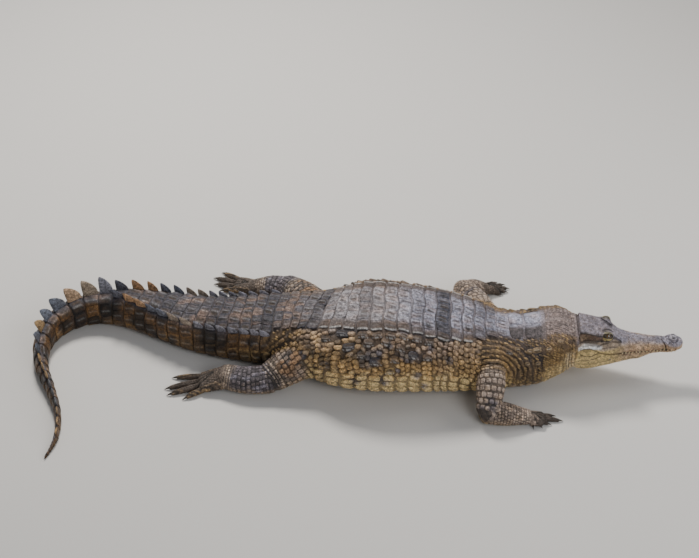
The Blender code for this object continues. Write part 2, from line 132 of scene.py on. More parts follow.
def poured(work, name):
    """The mesh made from a worked shape, which is then freed."""
    mesh = bpy.data.meshes.new(name)
    work.to_mesh(mesh)
    work.free()
    return mesh


world = bpy.data.worlds.new("studio")
bpy.context.scene.world = world
world.use_nodes = True
feed(world.node_tree.nodes["Background"], {"Color": (0.86, 0.89, 0.95, 1), "Strength": 0.30})

floor_work = bmesh.new()
bmesh.ops.create_grid(floor_work, x_segments=1, y_segments=1, size=6.0)
floor = in_scene("floor", poured(floor_work, "floor"))
paper, paper_tree, paper_shader = blank_finish("pale_floor")
feed(paper_shader, {"Base Color": (0.62, 0.60, 0.57, 1), "Roughness": 0.9})
floor.data.materials.append(paper)


# ---- The body's measure ----
# The trunk and tail follow one line from the back of the head to the tip of the tail. Every
# scale, fold and marking is placed by its distance along that line and its arc from the ridge.

# In millimetres: x, y, half width, height of the back, clearance under the belly; squareness
SECTIONS = [
    (499.5, 30, 64, 144, 44, 2.3), (482, 31, 76, 152, 30, 2.3),
    (455, 31, 85, 150, 14, 2.3), (425, 29, 88, 138, 3, 2.4),
    (390, 26, 89, 133, -4, 2.4), (350, 21, 94, 138, -4, 2.4),
    (306, 18, 106, 152, -4, 2.4), (240, 17, 118, 168, -4, 2.4),
    (150, 15, 129, 182, -4, 2.4), (80, 13, 132, 186, -4, 2.4),
    (20, 14, 125, 178, -4, 2.4), (-30, 22, 110, 160, -4, 2.4),
    (-80, 33, 94, 144, -4, 2.5), (-150, 40, 79, 129, -4, 2.6),
    (-230, 44, 67, 116, -4, 2.8), (-312, 56, 59, 105, -4, 2.8),
    (-400, 83, 50, 94, -4, 2.7), (-480, 105, 40, 85, -4, 2.5),
    (-549, 106, 31, 77, -4, 2.3), (-602, 86, 26, 70, -4, 2.3),
    (-642, 42, 22, 63, -4, 2.3), (-655, -15, 19, 55, -4, 2.3),
    (-641, -78, 15, 46, -4, 2.2), (-606, -142, 11, 37, -4, 2.2),
    (-576, -205, 8, 28, -4, 2.2), (-565, -270, 5, 18, -4, 2.2),
    (-578, -333, 1.8, 6, -4, 2.0),
]


def smooth_rows(rows, per_row):
    """Rows on a smooth curve through all the given ones, per_row of them to each step."""
    rows = np.array(rows, dtype=float)
    last = len(rows) - 1
    at = np.linspace(0, last, last * per_row + 1)
    low = np.minimum(at.astype(int), last - 1)
    t = (at - low)[:, None]
    p = rows[np.maximum(low - 1, 0)]
    q = rows[low]
    r = rows[low + 1]
    s = rows[np.minimum(low + 2, last)]
    return q + 0.5 * t * (r - p + t * (2 * p - 5 * q + 4 * r - s + t * (3 * (q - r) + s - p)))


LINE = smooth_rows(np.array(SECTIONS) / [1000, 1000, 1000, 1000, 1000, 1], 24)
LINE[:, :2] += SHIFT[:2]
LINE_ALONG = np.concatenate([[0], np.cumsum(np.hypot(*np.diff(LINE[:, :2], axis=0).T))])
BODY_LENGTH = LINE_ALONG[-1]
NECK_BLEND = 0.06  # over this length the sections turn to face the head
WAIST = 0.46  # where a section is widest, as a share of its height
ARC_STEP = 0.004  # distance between the measured arcs
ARC_TURNS = 181  # places measured round each


def unit(rows):
    """Rows of numbers, each brought to length 1."""
    return rows / np.maximum(norm(rows, axis=-1, keepdims=True), 1e-12)


def level_left(ahead):
    """Level steps to the left of steps ahead."""
    return np.stack([-ahead[:, 1], ahead[:, 0], np.zeros(len(ahead))], axis=1)


def section(along):
    """The body's section values at distances along: x, y, half width, top, clearance, squareness."""
    return [np.interp(along, LINE_ALONG, LINE[:, column]) for column in range(6)]


def heading(along):
    """Unit steps towards the head, level with the floor; the neck's front faces the head squarely."""
    ahead = section(np.asarray(along) - 0.004)
    behind = section(np.asarray(along) + 0.004)
    step = unit(np.stack([ahead[0] - behind[0], ahead[1] - behind[1]], axis=-1))
    share = np.clip(1 - np.asarray(along) / NECK_BLEND, 0, 1)[..., None]
    return unit(step * (1 - share) + np.array([cos(HEAD_TURN), sin(HEAD_TURN)]) * share)


def section_outline(turn, half, tall, square):
    """Out and up on a rounded section; turn is 0 on the ridge, + to the left, pi under the belly."""
    out = np.sign(np.sin(turn)) * np.abs(np.sin(turn)) ** (2 / square) * half
    up = np.sign(np.cos(turn)) * np.abs(np.cos(turn)) ** (2 / square) * tall
    return out, up


def round_section(along, turn, inner=0.0, size=1.0):
    """Where the body's line is, its step ahead, and how far out and up a place round it lies."""
    x, y, half, top, clear, square = section(along)
    middle = clear + WAIST * (top - clear)
    tall = np.where(np.cos(turn) > 0, top - middle, middle - clear)
    out, up = section_outline(turn, (half - inner) * size, (tall - inner) * size, square)
    return x, y, heading(along), out, middle + up


def body_point(along, turn):
    """Points on the body's surface at distances along and turns from the ridge."""
    x, y, step, out, z = round_section(along, turn)
    return np.stack([x - step[..., 1] * out, y + step[..., 0] * out, np.maximum(z, 0.0)], axis=-1)


ARC_ALONG = np.arange(0, BODY_LENGTH, ARC_STEP)
ARC_TURN = np.linspace(0, pi, ARC_TURNS)
ring_points = body_point(np.repeat(ARC_ALONG, ARC_TURNS), np.tile(ARC_TURN, len(ARC_ALONG)))
ring_steps = norm(np.diff(ring_points.reshape(-1, ARC_TURNS, 3), axis=1), axis=2)
ARC_LENGTH = np.concatenate([np.zeros((len(ARC_ALONG), 1)), np.cumsum(ring_steps, axis=1)], axis=1)


def ring_of(along):
    """The measured ring nearest to each distance along."""
    return np.clip(np.round(np.atleast_1d(along) / ARC_STEP).astype(int), 0, len(ARC_ALONG) - 1)


def turn_of_arc(along, arc):
    """The turn from the ridge that an arc over the surface reaches, left positive."""
    row = ring_of(along)
    arc = np.atleast_1d(arc)
    turn = np.empty(len(row))
    for one in np.unique(row):
        here = row == one
        turn[here] = np.interp(np.abs(arc[here]), ARC_LENGTH[one], ARC_TURN)
    return turn * np.sign(arc)


def arc_of_turn(along, turn):
    """The arc over the surface from the ridge, left positive."""
    row = ring_of(along)
    last = ARC_TURNS - 1
    at = np.clip(np.abs(turn) / pi * last, 0, last - 0.001)
    low = at.astype(int)
    share = at - low
    return np.sign(turn) * (ARC_LENGTH[row, low] * (1 - share) + ARC_LENGTH[row, low + 1] * share)


def half_round(along):
    """The arc from the ridge to the middle of the belly."""
    return np.interp(along, ARC_ALONG, ARC_LENGTH[:, -1])


def body_place(points):
    """Distance along, turn from the ridge and share of the section's size, for points near the body."""
    along = np.empty(len(points))
    line = LINE[::3, :2]
    batch = 20000
    for start in range(0, len(points), batch):
        near = np.argmin(((points[start:start + batch, None, :2] - line) ** 2).sum(axis=2), axis=1)
        along[start:start + batch] = LINE_ALONG[::3][near]
    for _ in range(2):
        x, y = section(along)[:2]
        step = heading(along)
        slip = (points[:, 0] - x) * step[:, 0] + (points[:, 1] - y) * step[:, 1]
        along = np.clip(along - slip * 0.9, -0.02, BODY_LENGTH)
    x, y, half, top, clear, square = section(along)
    step = heading(along)
    out = (points[:, 1] - y) * step[:, 0] - (points[:, 0] - x) * step[:, 1]
    middle = clear + WAIST * (top - clear)
    up = points[:, 2] - middle
    tall = np.where(up > 0, top - middle, middle - clear)
    wide = np.abs(out / half)
    high = np.abs(up / tall)
    turn = np.arctan2(wide ** (square / 2) * np.sign(out), high ** (square / 2) * np.sign(up))
    return along, turn, (wide ** square + high ** square) ** (1 / square)


# ---- Skin: the forms under it ----
# One hide of tanned and painted skin over the whole body, with no seam. It is built up from
# the same forms as the solids: trunk and tail, both jaws, limbs, palms and toes, each pulled
# out of a sphere, and lies under the scales by their depth.

COAT_DEPTH = 0.0024
HEAD_DEPTH = 0.4  # millimetres
LIMB_DEPTH = 0.0012

# Back to front, half sections in millimetres.
# Upper jaw and skull: lip, cheek, temple, under the table, table edge, table, middle line.
UPPER = [
    (-14, 53, 4, 55, 14, 51, 24, 42, 31, 35, 39, 18, 43, 0, 44),
    (-2, 54, 6, 55, 14, 49, 22, 37, 27, 30, 40, 16, 44, 0, 44.5),
    (1, 54, 7, 55, 14, 49, 22, 36, 26, 29.5, 45.5, 15, 47, 0, 47),
    (25, 52, 14.5, 52, 18, 46, 23, 35, 25, 28.5, 42.5, 14.5, 44, 0, 43.5),
    (44, 48, 8, 47.5, 13, 40.5, 20, 33, 23, 27.5, 40, 14, 41, 0, 40),
    (59, 44, 1, 43, 8, 37, 18, 33.5, 26, 25, 44, 13, 40, 0, 36),
    (72, 40, -2, 38.5, 5, 33, 14, 28, 22, 19, 33.5, 10, 31.5, 0, 30.5),
    (80, 37.5, -3.2, 36, 3, 30.5, 11.5, 25, 18.5, 17, 26, 8.5, 26, 0, 26),
    (90, 34.5, -4.2, 33.5, 2, 28.5, 9, 22.5, 15, 15, 20, 7, 21, 0, 21),
    (108, 30, -5.5, 29.5, 0, 25, 6, 19, 11, 12.5, 14.5, 6, 16, 0, 16.5),
    (135, 25, -6, 25, -1, 21.5, 4, 17, 8, 11, 11, 5.5, 12.5, 0, 13),
    (160, 20.5, -5.5, 21, -1, 18.5, 3, 15, 7, 10, 10, 5, 11.5, 0, 12),
    (176, 18, -4.5, 18.5, -0.5, 17, 4, 14, 8.5, 9.5, 12, 5, 13.5, 0, 14),
    (186, 14, -4, 14.6, 0, 14.3, 4, 12.8, 8.5, 9.5, 12, 5, 13.8, 0, 14),
    (198, 18.8, -4, 19.8, 1, 18.8, 6.5, 15.5, 12, 11, 16, 6, 18, 0, 17.5),
    (212, 16.5, -3.5, 17.5, 1.5, 16.5, 6.5, 13.5, 11.5, 10, 15, 5.5, 17, 0, 16.5),
    (221, 10, -2.5, 11, 2, 10.5, 6, 9, 10, 7, 13, 3.5, 14, 0, 14),
    (226, 3, 1, 3.5, 3, 3.3, 5, 3, 6.5, 2.5, 8, 1.2, 8.5, 0, 8.5),
]
# Lower jaw: lip, side, lower side, under edge, middle line.
LOWER = [
    (-14, 51, 4, 55, -9, 53, -28, 37, -42, 0, -45),
    (0, 52, 6.5, 56, -10, 54, -34, 40, -48, 0, -50),
    (25, 50, 14, 54, -10, 52, -35, 38, -49, 0, -51),
    (48, 45, 5, 48.5, -11, 46, -33, 34, -46, 0, -48),
    (72, 38, -2, 40.5, -12, 38.5, -32, 28, -43, 0, -45),
    (86, 34, -4, 36.5, -13, 34, -31, 24, -41, 0, -43),
    (108, 27.5, -5.5, 30.5, -13, 28.5, -27, 20, -36.5, 0, -38),
    (135, 22, -6, 25.5, -12, 24, -23, 16, -31.5, 0, -33),
    (148, 19, -6, 22, -11, 20.5, -18.5, 13.5, -25.5, 0, -27),
    (160, 17, -5.5, 19.5, -9.5, 18, -14.5, 12, -20, 0, -21),
    (176, 15, -4.5, 17, -8, 16, -12.5, 10.5, -17, 0, -18),
    (192, 15, -4, 16.8, -7.5, 15.8, -11.5, 10, -15.5, 0, -16.5),
    (208, 12.5, -3.5, 13.8, -6.5, 13, -10.5, 8, -14, 0, -14.5),
    (218, 7, -3, 8, -6, 7.5, -8.5, 5, -11, 0, -11.5),
    (222, 2, -3, 2.8, -5, 2.6, -6.5, 2, -8, 0, -8.5),
]
# The line where the lips meet: along, up.
MOUTH = [(-14, 9), (-2, 13.2), (11, 16.6), (22, 17), (31, 12.5), (39, 7.4), (50, 1.3), (65, -2.8),
         (80, -5.5), (92, -5.5), (108, -5.5), (135, -6), (160, -5.5), (186, -4), (198, -4),
         (212, -3.5), (226, -1)]


# Limbs in millimetres: x, y, z, half width, half height, from the shoulder or hip outwards.
LIMBS = {
    "right_fore": [
        [(326, -45, 90, 34, 34), (331, -96, 68, 31, 31), (329, -134, 36, 27, 27)],
        [(329, -136, 26, 26, 25), (365, -135, 22, 26, 23), (416, -132, 14, 18, 13)],
        [(420, -132, 12, 18, 12), (440, -132, 10, 21, 10)],
    ],
    "left_fore": [
        [(322, 80, 86, 33, 32), (297, 155, 72, 28, 27), (267, 224, 47, 24, 24)],
        [(268, 234, 32, 23, 26), (293, 256, 24, 23, 22), (318, 270, 14, 17, 13)],
        [(322, 272, 12, 17, 12), (340, 280, 10, 19, 10)],
    ],
    "right_hind": [
        [(-36, -30, 86, 50, 46), (-86, -52, 58, 44, 42), (-130, -76, 36, 35, 34)],
        [(-142, -83, 30, 32, 30), (-190, -88, 28, 30, 28), (-234, -80, 26, 28, 26)],
        [(-242, -80, 22, 27, 22), (-284, -87, 12, 30, 12)],
    ],
    "left_hind": [
        [(-50, 85, 80, 44, 42), (-90, 150, 62, 36, 35), (-132, 203, 40, 30, 30)],
        [(-138, 208, 32, 29, 28), (-172, 216, 29, 28, 26), (-212, 224, 19, 21, 18)],
        [(-216, 225, 16, 21, 16), (-254, 238, 11, 27, 11)],
    ],
}
LIMBS = {limb: [np.array(length) / 1000 for length in lengths] for limb, lengths in LIMBS.items()}
# Digits in millimetres: where each leaves the palm and where its claw's tip lies.
DIGITS = {
    "right_fore": [((440, -119), (474, -113)), ((446, -126), (489, -127)),
                   ((444, -135), (465, -141)), ((436, -142), (445, -151)),
                   ((424, -145), (426, -156))],
    "left_fore": [((344, 268), (362, 262)), ((350, 275), (374, 273)),
                  ((350, 283), (377, 288)), ((344, 290), (366, 302)),
                  ((334, 293), (348, 310))],
    "right_hind": [((-292, -66), (-358, -71)), ((-302, -84), (-368, -107)),
                   ((-300, -98), (-360, -125)), ((-288, -108), (-324, -135))],
    "left_hind": [((-264, 222), (-300, 222)), ((-272, 235), (-316, 244)),
                  ((-270, 249), (-320, 266)), ((-258, 260), (-304, 287))],
}
DIGITS = {limb: np.array(digits) / 1000 for limb, digits in DIGITS.items()}
CLAW = 0.013  # length of a hind claw
FORE_STOUT = 0.80  # the fore foot's digits and claws, as a share of the hind foot's


def stoutness(limb):
    return 1.0 if "hind" in limb else FORE_STOUT


def put_in_place(work, places):
    """Moves each vertex of a shape to its place and points the faces outwards."""
    for vert, place in zip(work.verts, places):
        vert.co = place
    bmesh.ops.recalc_face_normals(work, faces=work.faces)


def pulled_sphere(rings, sides, shape):
    """A sphere whose rings are moved to shape(share from pole to pole, turn round the axis)."""
    work = bmesh.new()
    bmesh.ops.create_uvsphere(work, u_segments=sides, v_segments=rings, radius=1)
    ball = np.array([vert.co for vert in work.verts])
    share = np.arccos(np.clip(ball[:, 2], -1, 1)) / pi
    put_in_place(work, shape(share, np.arctan2(ball[:, 1], ball[:, 0])))
    return work


def rounded_ends(share, start, finish):
    """Size along a pulled form: full in the middle, rounding in to the poles at both ends."""
    size = np.ones_like(share)
    for left in (share / start, (1 - share) / finish):
        size = np.where(left < 1, np.sqrt(np.clip(1 - (1 - left) ** 2, 0, 1)), size)
    return size


NECK_REACH = 0.024  # how far the neck's skin runs in over the back of the head


def trunk_shape(share, turn):
    """The trunk, neck and tail, a little inside the scales that will lie on them."""
    along = -NECK_REACH + share * (BODY_LENGTH + NECK_REACH)
    ahead = np.clip(-along, 0, None)
    size = rounded_ends(share, 0.003, 0.012) * (1 - 0.17 * (ahead / NECK_REACH) ** 1.5)
    inner = np.interp(along, [0.02, 0.14, BODY_LENGTH - 0.4, BODY_LENGTH], [0.6, 1, 1, 0.25]) * COAT_DEPTH
    x, y, step, out, z = round_section(along, turn, inner, size)
    return np.stack([x + step[:, 0] * ahead - step[:, 1] * out, y + step[:, 1] * ahead + step[:, 0] * out,
                     np.maximum(z, inner)], axis=1)


def station_values(table, at):
    """All the values of a table at places along it, on smooth curves through its rows."""
    table = np.array(table, dtype=float)
    keys = table[:, 0]
    low = np.clip(np.searchsorted(keys, at, side="right") - 1, 0, len(keys) - 2)
    a, b, c, d = (table[np.clip(low + step, 0, len(keys) - 1)] for step in (-1, 0, 1, 2))
    wide = (c[:, :1] - b[:, :1])
    t = np.clip((np.asarray(at)[:, None] - b[:, :1]) / wide, 0, 1)
    start = (c - a) / np.maximum(c[:, :1] - a[:, :1], 1e-9) * wide
    finish = (d - b) / np.maximum(d[:, :1] - b[:, :1], 1e-9) * wide
    bend = 3 * (c - b) - 2 * start - finish + t * (2 * (b - c) + start + finish)
    return (b + t * (start + t * bend))[:, 1:]


def jaw_shape(table, lip_lift, tip):
    """The shape of one jaw: full half sections mirrored, closed flat along the lips."""
    start = table[0][0]
    points = (len(table[0]) - 1) // 2
    soft = 0.7  # how far the curve round a section bows between its points

    def shape(share, turn):
        along = start + share * (tip - start)
        values = station_values(table, along)
        outs = values[:, 0::2].copy()
        ups = values[:, 1::2].copy()
        ups[:, 0] = station_values(MOUTH, along)[:, 0] + lip_lift
        inside = np.abs(turn) / pi * points
        at = np.clip(inside - 1, 0, points - 1 - 1e-6)
        low = at.astype(int)
        t = at - low
        rows = np.arange(len(at))

        def curve(values):
            p, q, r, s = (values[rows, np.clip(low + step, 0, points - 1)] for step in (-1, 0, 1, 2))
            m = soft * (r - p) / 2
            n = soft * (s - q) / 2
            return q + t * (m + t * (3 * (r - q) - 2 * m - n + t * (2 * (q - r) + m + n)))

        out = np.where(inside < 1, outs[:, 0] * np.clip(inside, 0, 1), curve(outs))
        up = np.where(inside < 1, ups[:, 0], curve(ups))
        size = np.where((share == 0) | (share == 1), 0, 1 - HEAD_DEPTH / np.maximum(outs.max(axis=1), 4))
        middle = ups.mean(axis=1)
        return head_point(along, out * size * np.sign(turn + 1e-9), middle + (up - middle) * size) + SHIFT
    return shape


def run_down(points):
    """The distance run from the first point of a line to each of its points."""
    return np.concatenate([[0], np.cumsum(norm(np.diff(points, axis=0), axis=1))])


def columns_at(at, keys, rows):
    """Every column of some rows, read at places between their keys."""
    return np.stack([np.interp(at, keys, column) for column in rows.T], axis=-1)


def limb_shape(points, depth, blunt=0.85):
    """The shape of one limb length along its own smooth line, with blunt round ends."""
    fine = smooth_rows(points, 10)
    fine[:, :3] += SHIFT
    at = run_down(fine[:, :3])
    first = blunt * fine[0, 3:].min()
    last = blunt * fine[-1, 3:].min()
    whole = at[-1] + first + last

    def shape(share, turn):
        along = -first + share * whole
        size = rounded_ends(share, first / whole, last / whole)
        row = columns_at(along, at, fine)
        on_line = np.clip(along, 0, at[-1])
        before, after = (columns_at(on_line + off, at, fine[:, :3]) for off in (-0.006, 0.006))
        ahead = unit(after - before)
        across = unit(level_left(ahead))
        over = np.cross(ahead, across)
        out, up = section_outline(turn, (row[:, 3] - depth) * size, (row[:, 4] - depth) * size, 2.2)
        place = row[:, :3] + ahead * (along - on_line)[:, None] + across * out[:, None] + over * up[:, None]
        place[:, 2] = np.maximum(place[:, 2], depth)
        return place
    return shape


def digit_line(root, tip, stout):
    """The line of one toe from inside the palm to the root of its claw, then the claw's tip."""
    root = np.array([*root, 0.0068 * stout])
    end = np.array([*tip, 0.0010])
    ahead = (end - root) * [1, 1, 0]
    ahead /= norm(ahead)
    start = root - ahead * 0.012
    nail = end - ahead * CLAW * stout
    nail[2] = 0.0046 * stout
    knuckle = (root + nail) / 2 + [0, 0, 0.0012 * stout]
    return [(*start, 0.0070 * stout, 0.0076 * stout), (*knuckle, 0.0062 * stout, 0.0074 * stout),
            (*nail, 0.0046 * stout, 0.0050 * stout)], end


def lump(centre, radius, stretch):
    """A round lump of the head, stretched along, across and up."""
    work = bmesh.new()
    place = Matrix.Translation(centre) @ Matrix.Rotation(HEAD_TURN, 4, "Z") @ Matrix.Diagonal((*stretch, 1))
    bmesh.ops.create_uvsphere(work, u_segments=32, v_segments=20, radius=radius, matrix=place)
    return work


def gathered(works):
    """One shape that holds all the given ones, which are freed."""
    whole = bmesh.new()
    for work in works:
        part = poured(work, "part")
        whole.from_mesh(part)
        bpy.data.meshes.remove(part)
    return whole


forms = [pulled_sphere(420, 96, trunk_shape),
         pulled_sphere(150, 72, jaw_shape(UPPER, -0.6, 226)),
         pulled_sphere(150, 60, jaw_shape(LOWER, 0.6, 222))]
for limb, lengths in LIMBS.items():
    forms += [pulled_sphere(44, 36, limb_shape(points, LIMB_DEPTH)) for points in lengths]
    for root, tip in DIGITS[limb]:
        toe, end = digit_line(root, tip, stoutness(limb))
        forms.append(pulled_sphere(24, 16, limb_shape(toe, 0.0004, 0.6)))
for side in (1, -1):
    # the mound of the eye, and the button of the nostril
    forms.append(lump(head_point(57, side * 23.0, 32.5) + SHIFT, 0.0108, (1.25, 1, 1)))
    forms.append(lump(head_point(203, side * 5.2, 18.0) + SHIFT, 0.0050, (1.4, 1, 0.62)))


# The neck and head are drawn out while the skin is cast, so that its mesh is finest there.
CAST = 0.0017
HEAD_FINE = 1.75
FINE_FROM = 0.10  # the drawing out starts this far behind the head
stretch_x = np.linspace(-1.0, 1.2, 4401)
head_back_x = HEAD_BACK[0] + SHIFT[0]
stretch_rate = 1 + (HEAD_FINE - 1) * np.clip((stretch_x - (head_back_x - FINE_FROM)) / FINE_FROM, 0, 1)
stretched_steps = (stretch_rate[1:] + stretch_rate[:-1]) / 2 * np.diff(stretch_x)
stretched_x = np.concatenate([[0], np.cumsum(stretched_steps)])
stretch_middle = head_point(60, 0, 0) + SHIFT


def drawn_out(points):
    rate = np.interp(points[:, 0], stretch_x, stretch_rate)[:, None]
    out = stretch_middle + (points - stretch_middle) * rate
    out[:, 0] = np.interp(points[:, 0], stretch_x, stretched_x)
    return out


def drawn_back(points):
    x = np.interp(points[:, 0], stretched_x, stretch_x)
    rate = np.interp(x, stretch_x, stretch_rate)[:, None]
    out = stretch_middle + (points - stretch_middle) / rate
    out[:, 0] = x
    return out


def read_points(mesh, field="co"):
    """A mesh's vertex places or normals as an array."""
    out = np.empty(len(mesh.vertices) * 3, np.float32)
    if field == "co":
        mesh.vertices.foreach_get("co", out)
    else:
        mesh.vertex_normals.foreach_get("vector", out)
    return out.reshape(-1, 3).astype(float)


def write_points(mesh, points):
    mesh.vertices.foreach_set("co", np.asarray(points, np.float32).ravel())
    mesh.update()


def finished(thing):
    """The mesh of an object with its modifiers applied, put back in the object without them."""
    bpy.context.view_layer.update()
    done = bpy.data.meshes.new_from_object(thing.evaluated_get(bpy.context.evaluated_depsgraph_get()))
    thing.modifiers.clear()
    old = thing.data
    thing.data = done
    bpy.data.meshes.remove(old)
    return done


skin = in_scene("skin", poured(gathered(forms), "skin"))
write_points(skin.data, drawn_out(read_points(skin.data)))
casting = skin.modifiers.new("keel_shadow", "REMESH")
casting.mode = "VOXEL"
casting.voxel_size = CAST
casting.adaptivity = 0
skin_mesh = finished(skin)
write_points(skin_mesh, drawn_back(read_points(skin_mesh)))
softening = skin.modifiers.new("soften", "SMOOTH")
softening.factor = 0.5
softening.iterations = 3
skin_mesh = finished(skin)


# ---- Skin: folds, lips and the set of the head ----
# The hide is creased where it moves: along the lips, under the ear flaps and eyes, behind the
# jaw, round the shoulders and thighs. Each crease is a line pressed into the cast skin.

def head_place(points):
    """Millimetres along, out and up on the head for points of the frame."""
    x, y, z = (points - SHIFT - [*HEAD_BACK, JAW_HEIGHT]).T
    ahead = x * cos(HEAD_TURN) + y * sin(HEAD_TURN)
    out = y * cos(HEAD_TURN) - x * sin(HEAD_TURN)
    return np.stack([ahead * 1000 - 14, out * 1000, (z + ahead * tan(HEAD_DROOP)) * 1000], axis=1)


def limb_line(limb):
    """The smooth line of a limb from its root to the palm, with its half sizes."""
    rows = smooth_rows([row for length in LIMBS[limb] for row in length], 6)
    rows[:, :3] += SHIFT
    return rows


def limb_place(points, limb):
    """Millimetres down a limb, turn round it and distance from its line as a share of its size."""
    rows = limb_line(limb)
    far = norm(points[:, None] - rows[None, :, :3], axis=2) / rows[None, :, 3:].mean(axis=2)
    near = np.argmin(far, axis=1)
    ahead = unit(np.gradient(rows[:, :3], axis=0))[near]
    offset = points - rows[near, :3]
    slip = (offset * ahead).sum(axis=1)
    offset -= slip[:, None] * ahead
    across = level_left(ahead)
    over = np.cross(ahead, across)
    turn = np.arctan2((offset * across).sum(axis=1), (offset * over).sum(axis=1))
    size = norm(offset, axis=1) / rows[near, 3:].mean(axis=1)
    return (run_down(rows[:, :3])[near] + slip) * 1000, turn, size


def near_limb(points, limb):
    """Which points lie about a limb."""
    middle = np.mean([row[:3] for length in LIMBS[limb] for row in length], axis=0) + SHIFT
    return np.flatnonzero(norm(points - middle, axis=1) < 0.26)


def bell(value, wide, power=2):
    """1 at nought, falling away over a width, more squarely for a greater power."""
    return np.exp(-(value / wide) ** power)


def ramp(value, start, length):
    """0 up to a start, rising to 1 over a length; a length below 0 falls the other way."""
    return np.clip((value - start) / length, 0, 1)


FOLD_PITCH = 10.0  # millimetres from fold to fold at a limb's root
FORE_HEART = 0.056  # the folds ring a place this far down the fore limb


def root_folds(points, limb, down, share):
    """Ridges (1) and valleys (-1) of the hide round a limb's root, and how strongly it is folded."""
    rows = smooth_rows(LIMBS[limb][0], 6) + [*SHIFT, 0, 0]
    if "hind" in limb:
        far = (share - 1) * rows[:, 3:].mean() * 1000
        amount = ramp(far, 0, 6) * bell(far, 60)
    else:
        heart = columns_at(FORE_HEART, run_down(rows[:, :3]), rows[:, :3])
        far = norm(points - heart, axis=1) * 1000
        amount = ramp(far, 18, 8) * bell(far, 104, 4) * ramp(down, 40, -10)
    return np.cos(2 * pi * (far - 2) / FOLD_PITCH), amount


def from_path(places, path):
    """Distance from a smooth path for each place, in the units of both."""
    fine = smooth_rows(path, 8)
    nearest = np.full(len(places), 1e9)
    for one, two in zip(fine, fine[1:]):
        run = two - one
        t = np.clip((places - one) @ run / (run @ run), 0, 1)
        nearest = np.minimum(nearest, norm(places - one - t[:, None] * run, axis=1))
    return nearest


def mirrored(place):
    """Head places with both sides brought to one."""
    return place * [1, 0, 1] + np.abs(place) * [0, 1, 0]


def press(distance, depth, width):
    """A rounded crease with slightly raised banks."""
    share = distance / width
    return -depth * bell(share, 1) + 0.28 * depth * bell(share - 2.1, 1)


# Creases of one side: path in millimetres along, out and up; depth; width
HEAD_CREASES = [
    ([(1, 31, 43.5), (-2.5, 35, 38), (-1.5, 38, 31), (5, 38, 26), (18, 36.5, 25.4), (32, 35.5, 24.8),
      (46, 35, 24.8)], 3.4, 1.15),
    ([(46, 35, 24.8), (55, 34.5, 25.6), (64, 31.5, 27), (72, 25, 28.5), (78, 22, 25), (84, 20.5, 20),
      (90, 20, 15.5)], 1.9, 1.0),
    ([(0, 30.5, 43), (12, 31, 42), (30, 30.5, 37.6), (45, 29.5, 35.5)], 1.6, 0.9),
    ([(36, 46, 19), (44, 42, 20), (54, 36.5, 21.4), (66, 31.8, 22.6), (78, 26.5, 18.8),
      (90, 24, 14)], 1.2, 0.9),
    ([(48, 44, 14), (58, 41, 13), (70, 37, 12), (82, 32, 9)], 0.7, 0.9),
    ([(-1, 54, 10.5), (1.5, 55, 4.5), (7, 55.5, -0.8), (20, 54.5, -3), (32, 51.5, 0.5),
      (41, 48.5, 5.6)], 1.1, 0.8),
    ([(-12, 56, -9), (2, 56.5, -14), (21, 54.5, -12.5), (34, 52, -9), (46, 48.5, -4)], 0.7, 0.8),
    ([(-4, 56, -23), (16, 55, -24.5), (40, 50.5, -23), (70, 41.5, -21)], 0.5, 0.8),
    ([(178, 6, 14), (181, 9.5, 12), (184.5, 12.5, 8), (187, 14, 3.5), (187.5, 15, -2)], 1.9, 0.95),
    ([(6, 52, 21.5), (18, 49, 23.5), (32, 47.5, 22), (42, 44, 19.5)], 0.7, 0.9),
    ([(48, 18.5, 42), (53, 15, 41.2), (59, 13, 39.6), (65, 10, 35.8), (70, 11, 32.2)], 2.2, 1.3),
]
# The creases' painted shade is found from the side, so that their depth doesn't count
SIDE_ON = np.array([1, 0.25, 1])
# The edge of the hide behind the jaw, from the neck's back to the throat, and its folds' pitch
JAW_BACK = [(-6, 49, 30), (-9, 54, 20), (-9, 57, 8), (-10, 58, -6), (-8, 58, -18), (-2, 56, -32),
            (8, 48, -45), (16, 34, -52), (20, 14, -54)]
NECK_FOLD = 6.5


def past_jaw_back(head):
    """How far head places lie behind the jaw's back edge; below 0 on the jaw itself."""
    edge = np.interp(head[:, 2], [-54, -30, -10, 10, 30], [14, -3, -10, -9, -6])
    return from_path(head, JAW_BACK) * np.where(head[:, 0] < edge, 1, -1)


def mouth_at(head):
    """The height of the line where the lips meet."""
    return station_values(MOUTH, head[:, 0])[:, 0]


def button_share(head):
    """Distance from the middle of the nostrils' raised button, as a share of its size."""
    return np.hypot((head[:, 0] - 203.5) / 9.5, head[:, 1] / 12)


def slit_share(head, long, wide):
    """Distance from the crescent slit of a nostril, as a share of its length and width."""
    return np.hypot((head[:, 0] - 203) / long,
                    (head[:, 1] - 6.0 + 0.05 * (head[:, 0] - 203) ** 2) / wide)


points = read_points(skin_mesh)
normals = read_points(skin_mesh, "normal")
place = head_place(points)
on_head = np.flatnonzero(place[:, 0] > -40)
head = mirrored(place[on_head])
u, out, up = head.T
dent = np.zeros(len(on_head))
side_facing = np.abs((normals[on_head] @ [[-sin(HEAD_TURN)], [cos(HEAD_TURN)], [0.0]])[:, 0])
from_mouth = up - mouth_at(head)
in_mouth = ramp(u, -3, 12) * (side_facing > 0.25)
lip_wave = 0.5 + 0.5 * np.cos(2 * pi * (u - 104) / 11.5) * ramp(u, 80, 20)
dent += press(np.abs(from_mouth), 2.3, 0.95) * in_mouth
dent += 1.1 * lip_wave * bell(from_mouth - 3.0, 1.7) * in_mouth
dent += 0.9 * (1 - lip_wave) * bell(from_mouth + 2.8, 1.5) * in_mouth
for path, depth, width in HEAD_CREASES:
    dent += press(from_path(head, path), depth, width)
behind_jaw = past_jaw_back(head)
dent += press(np.abs(behind_jaw), 1.8, 1.6)
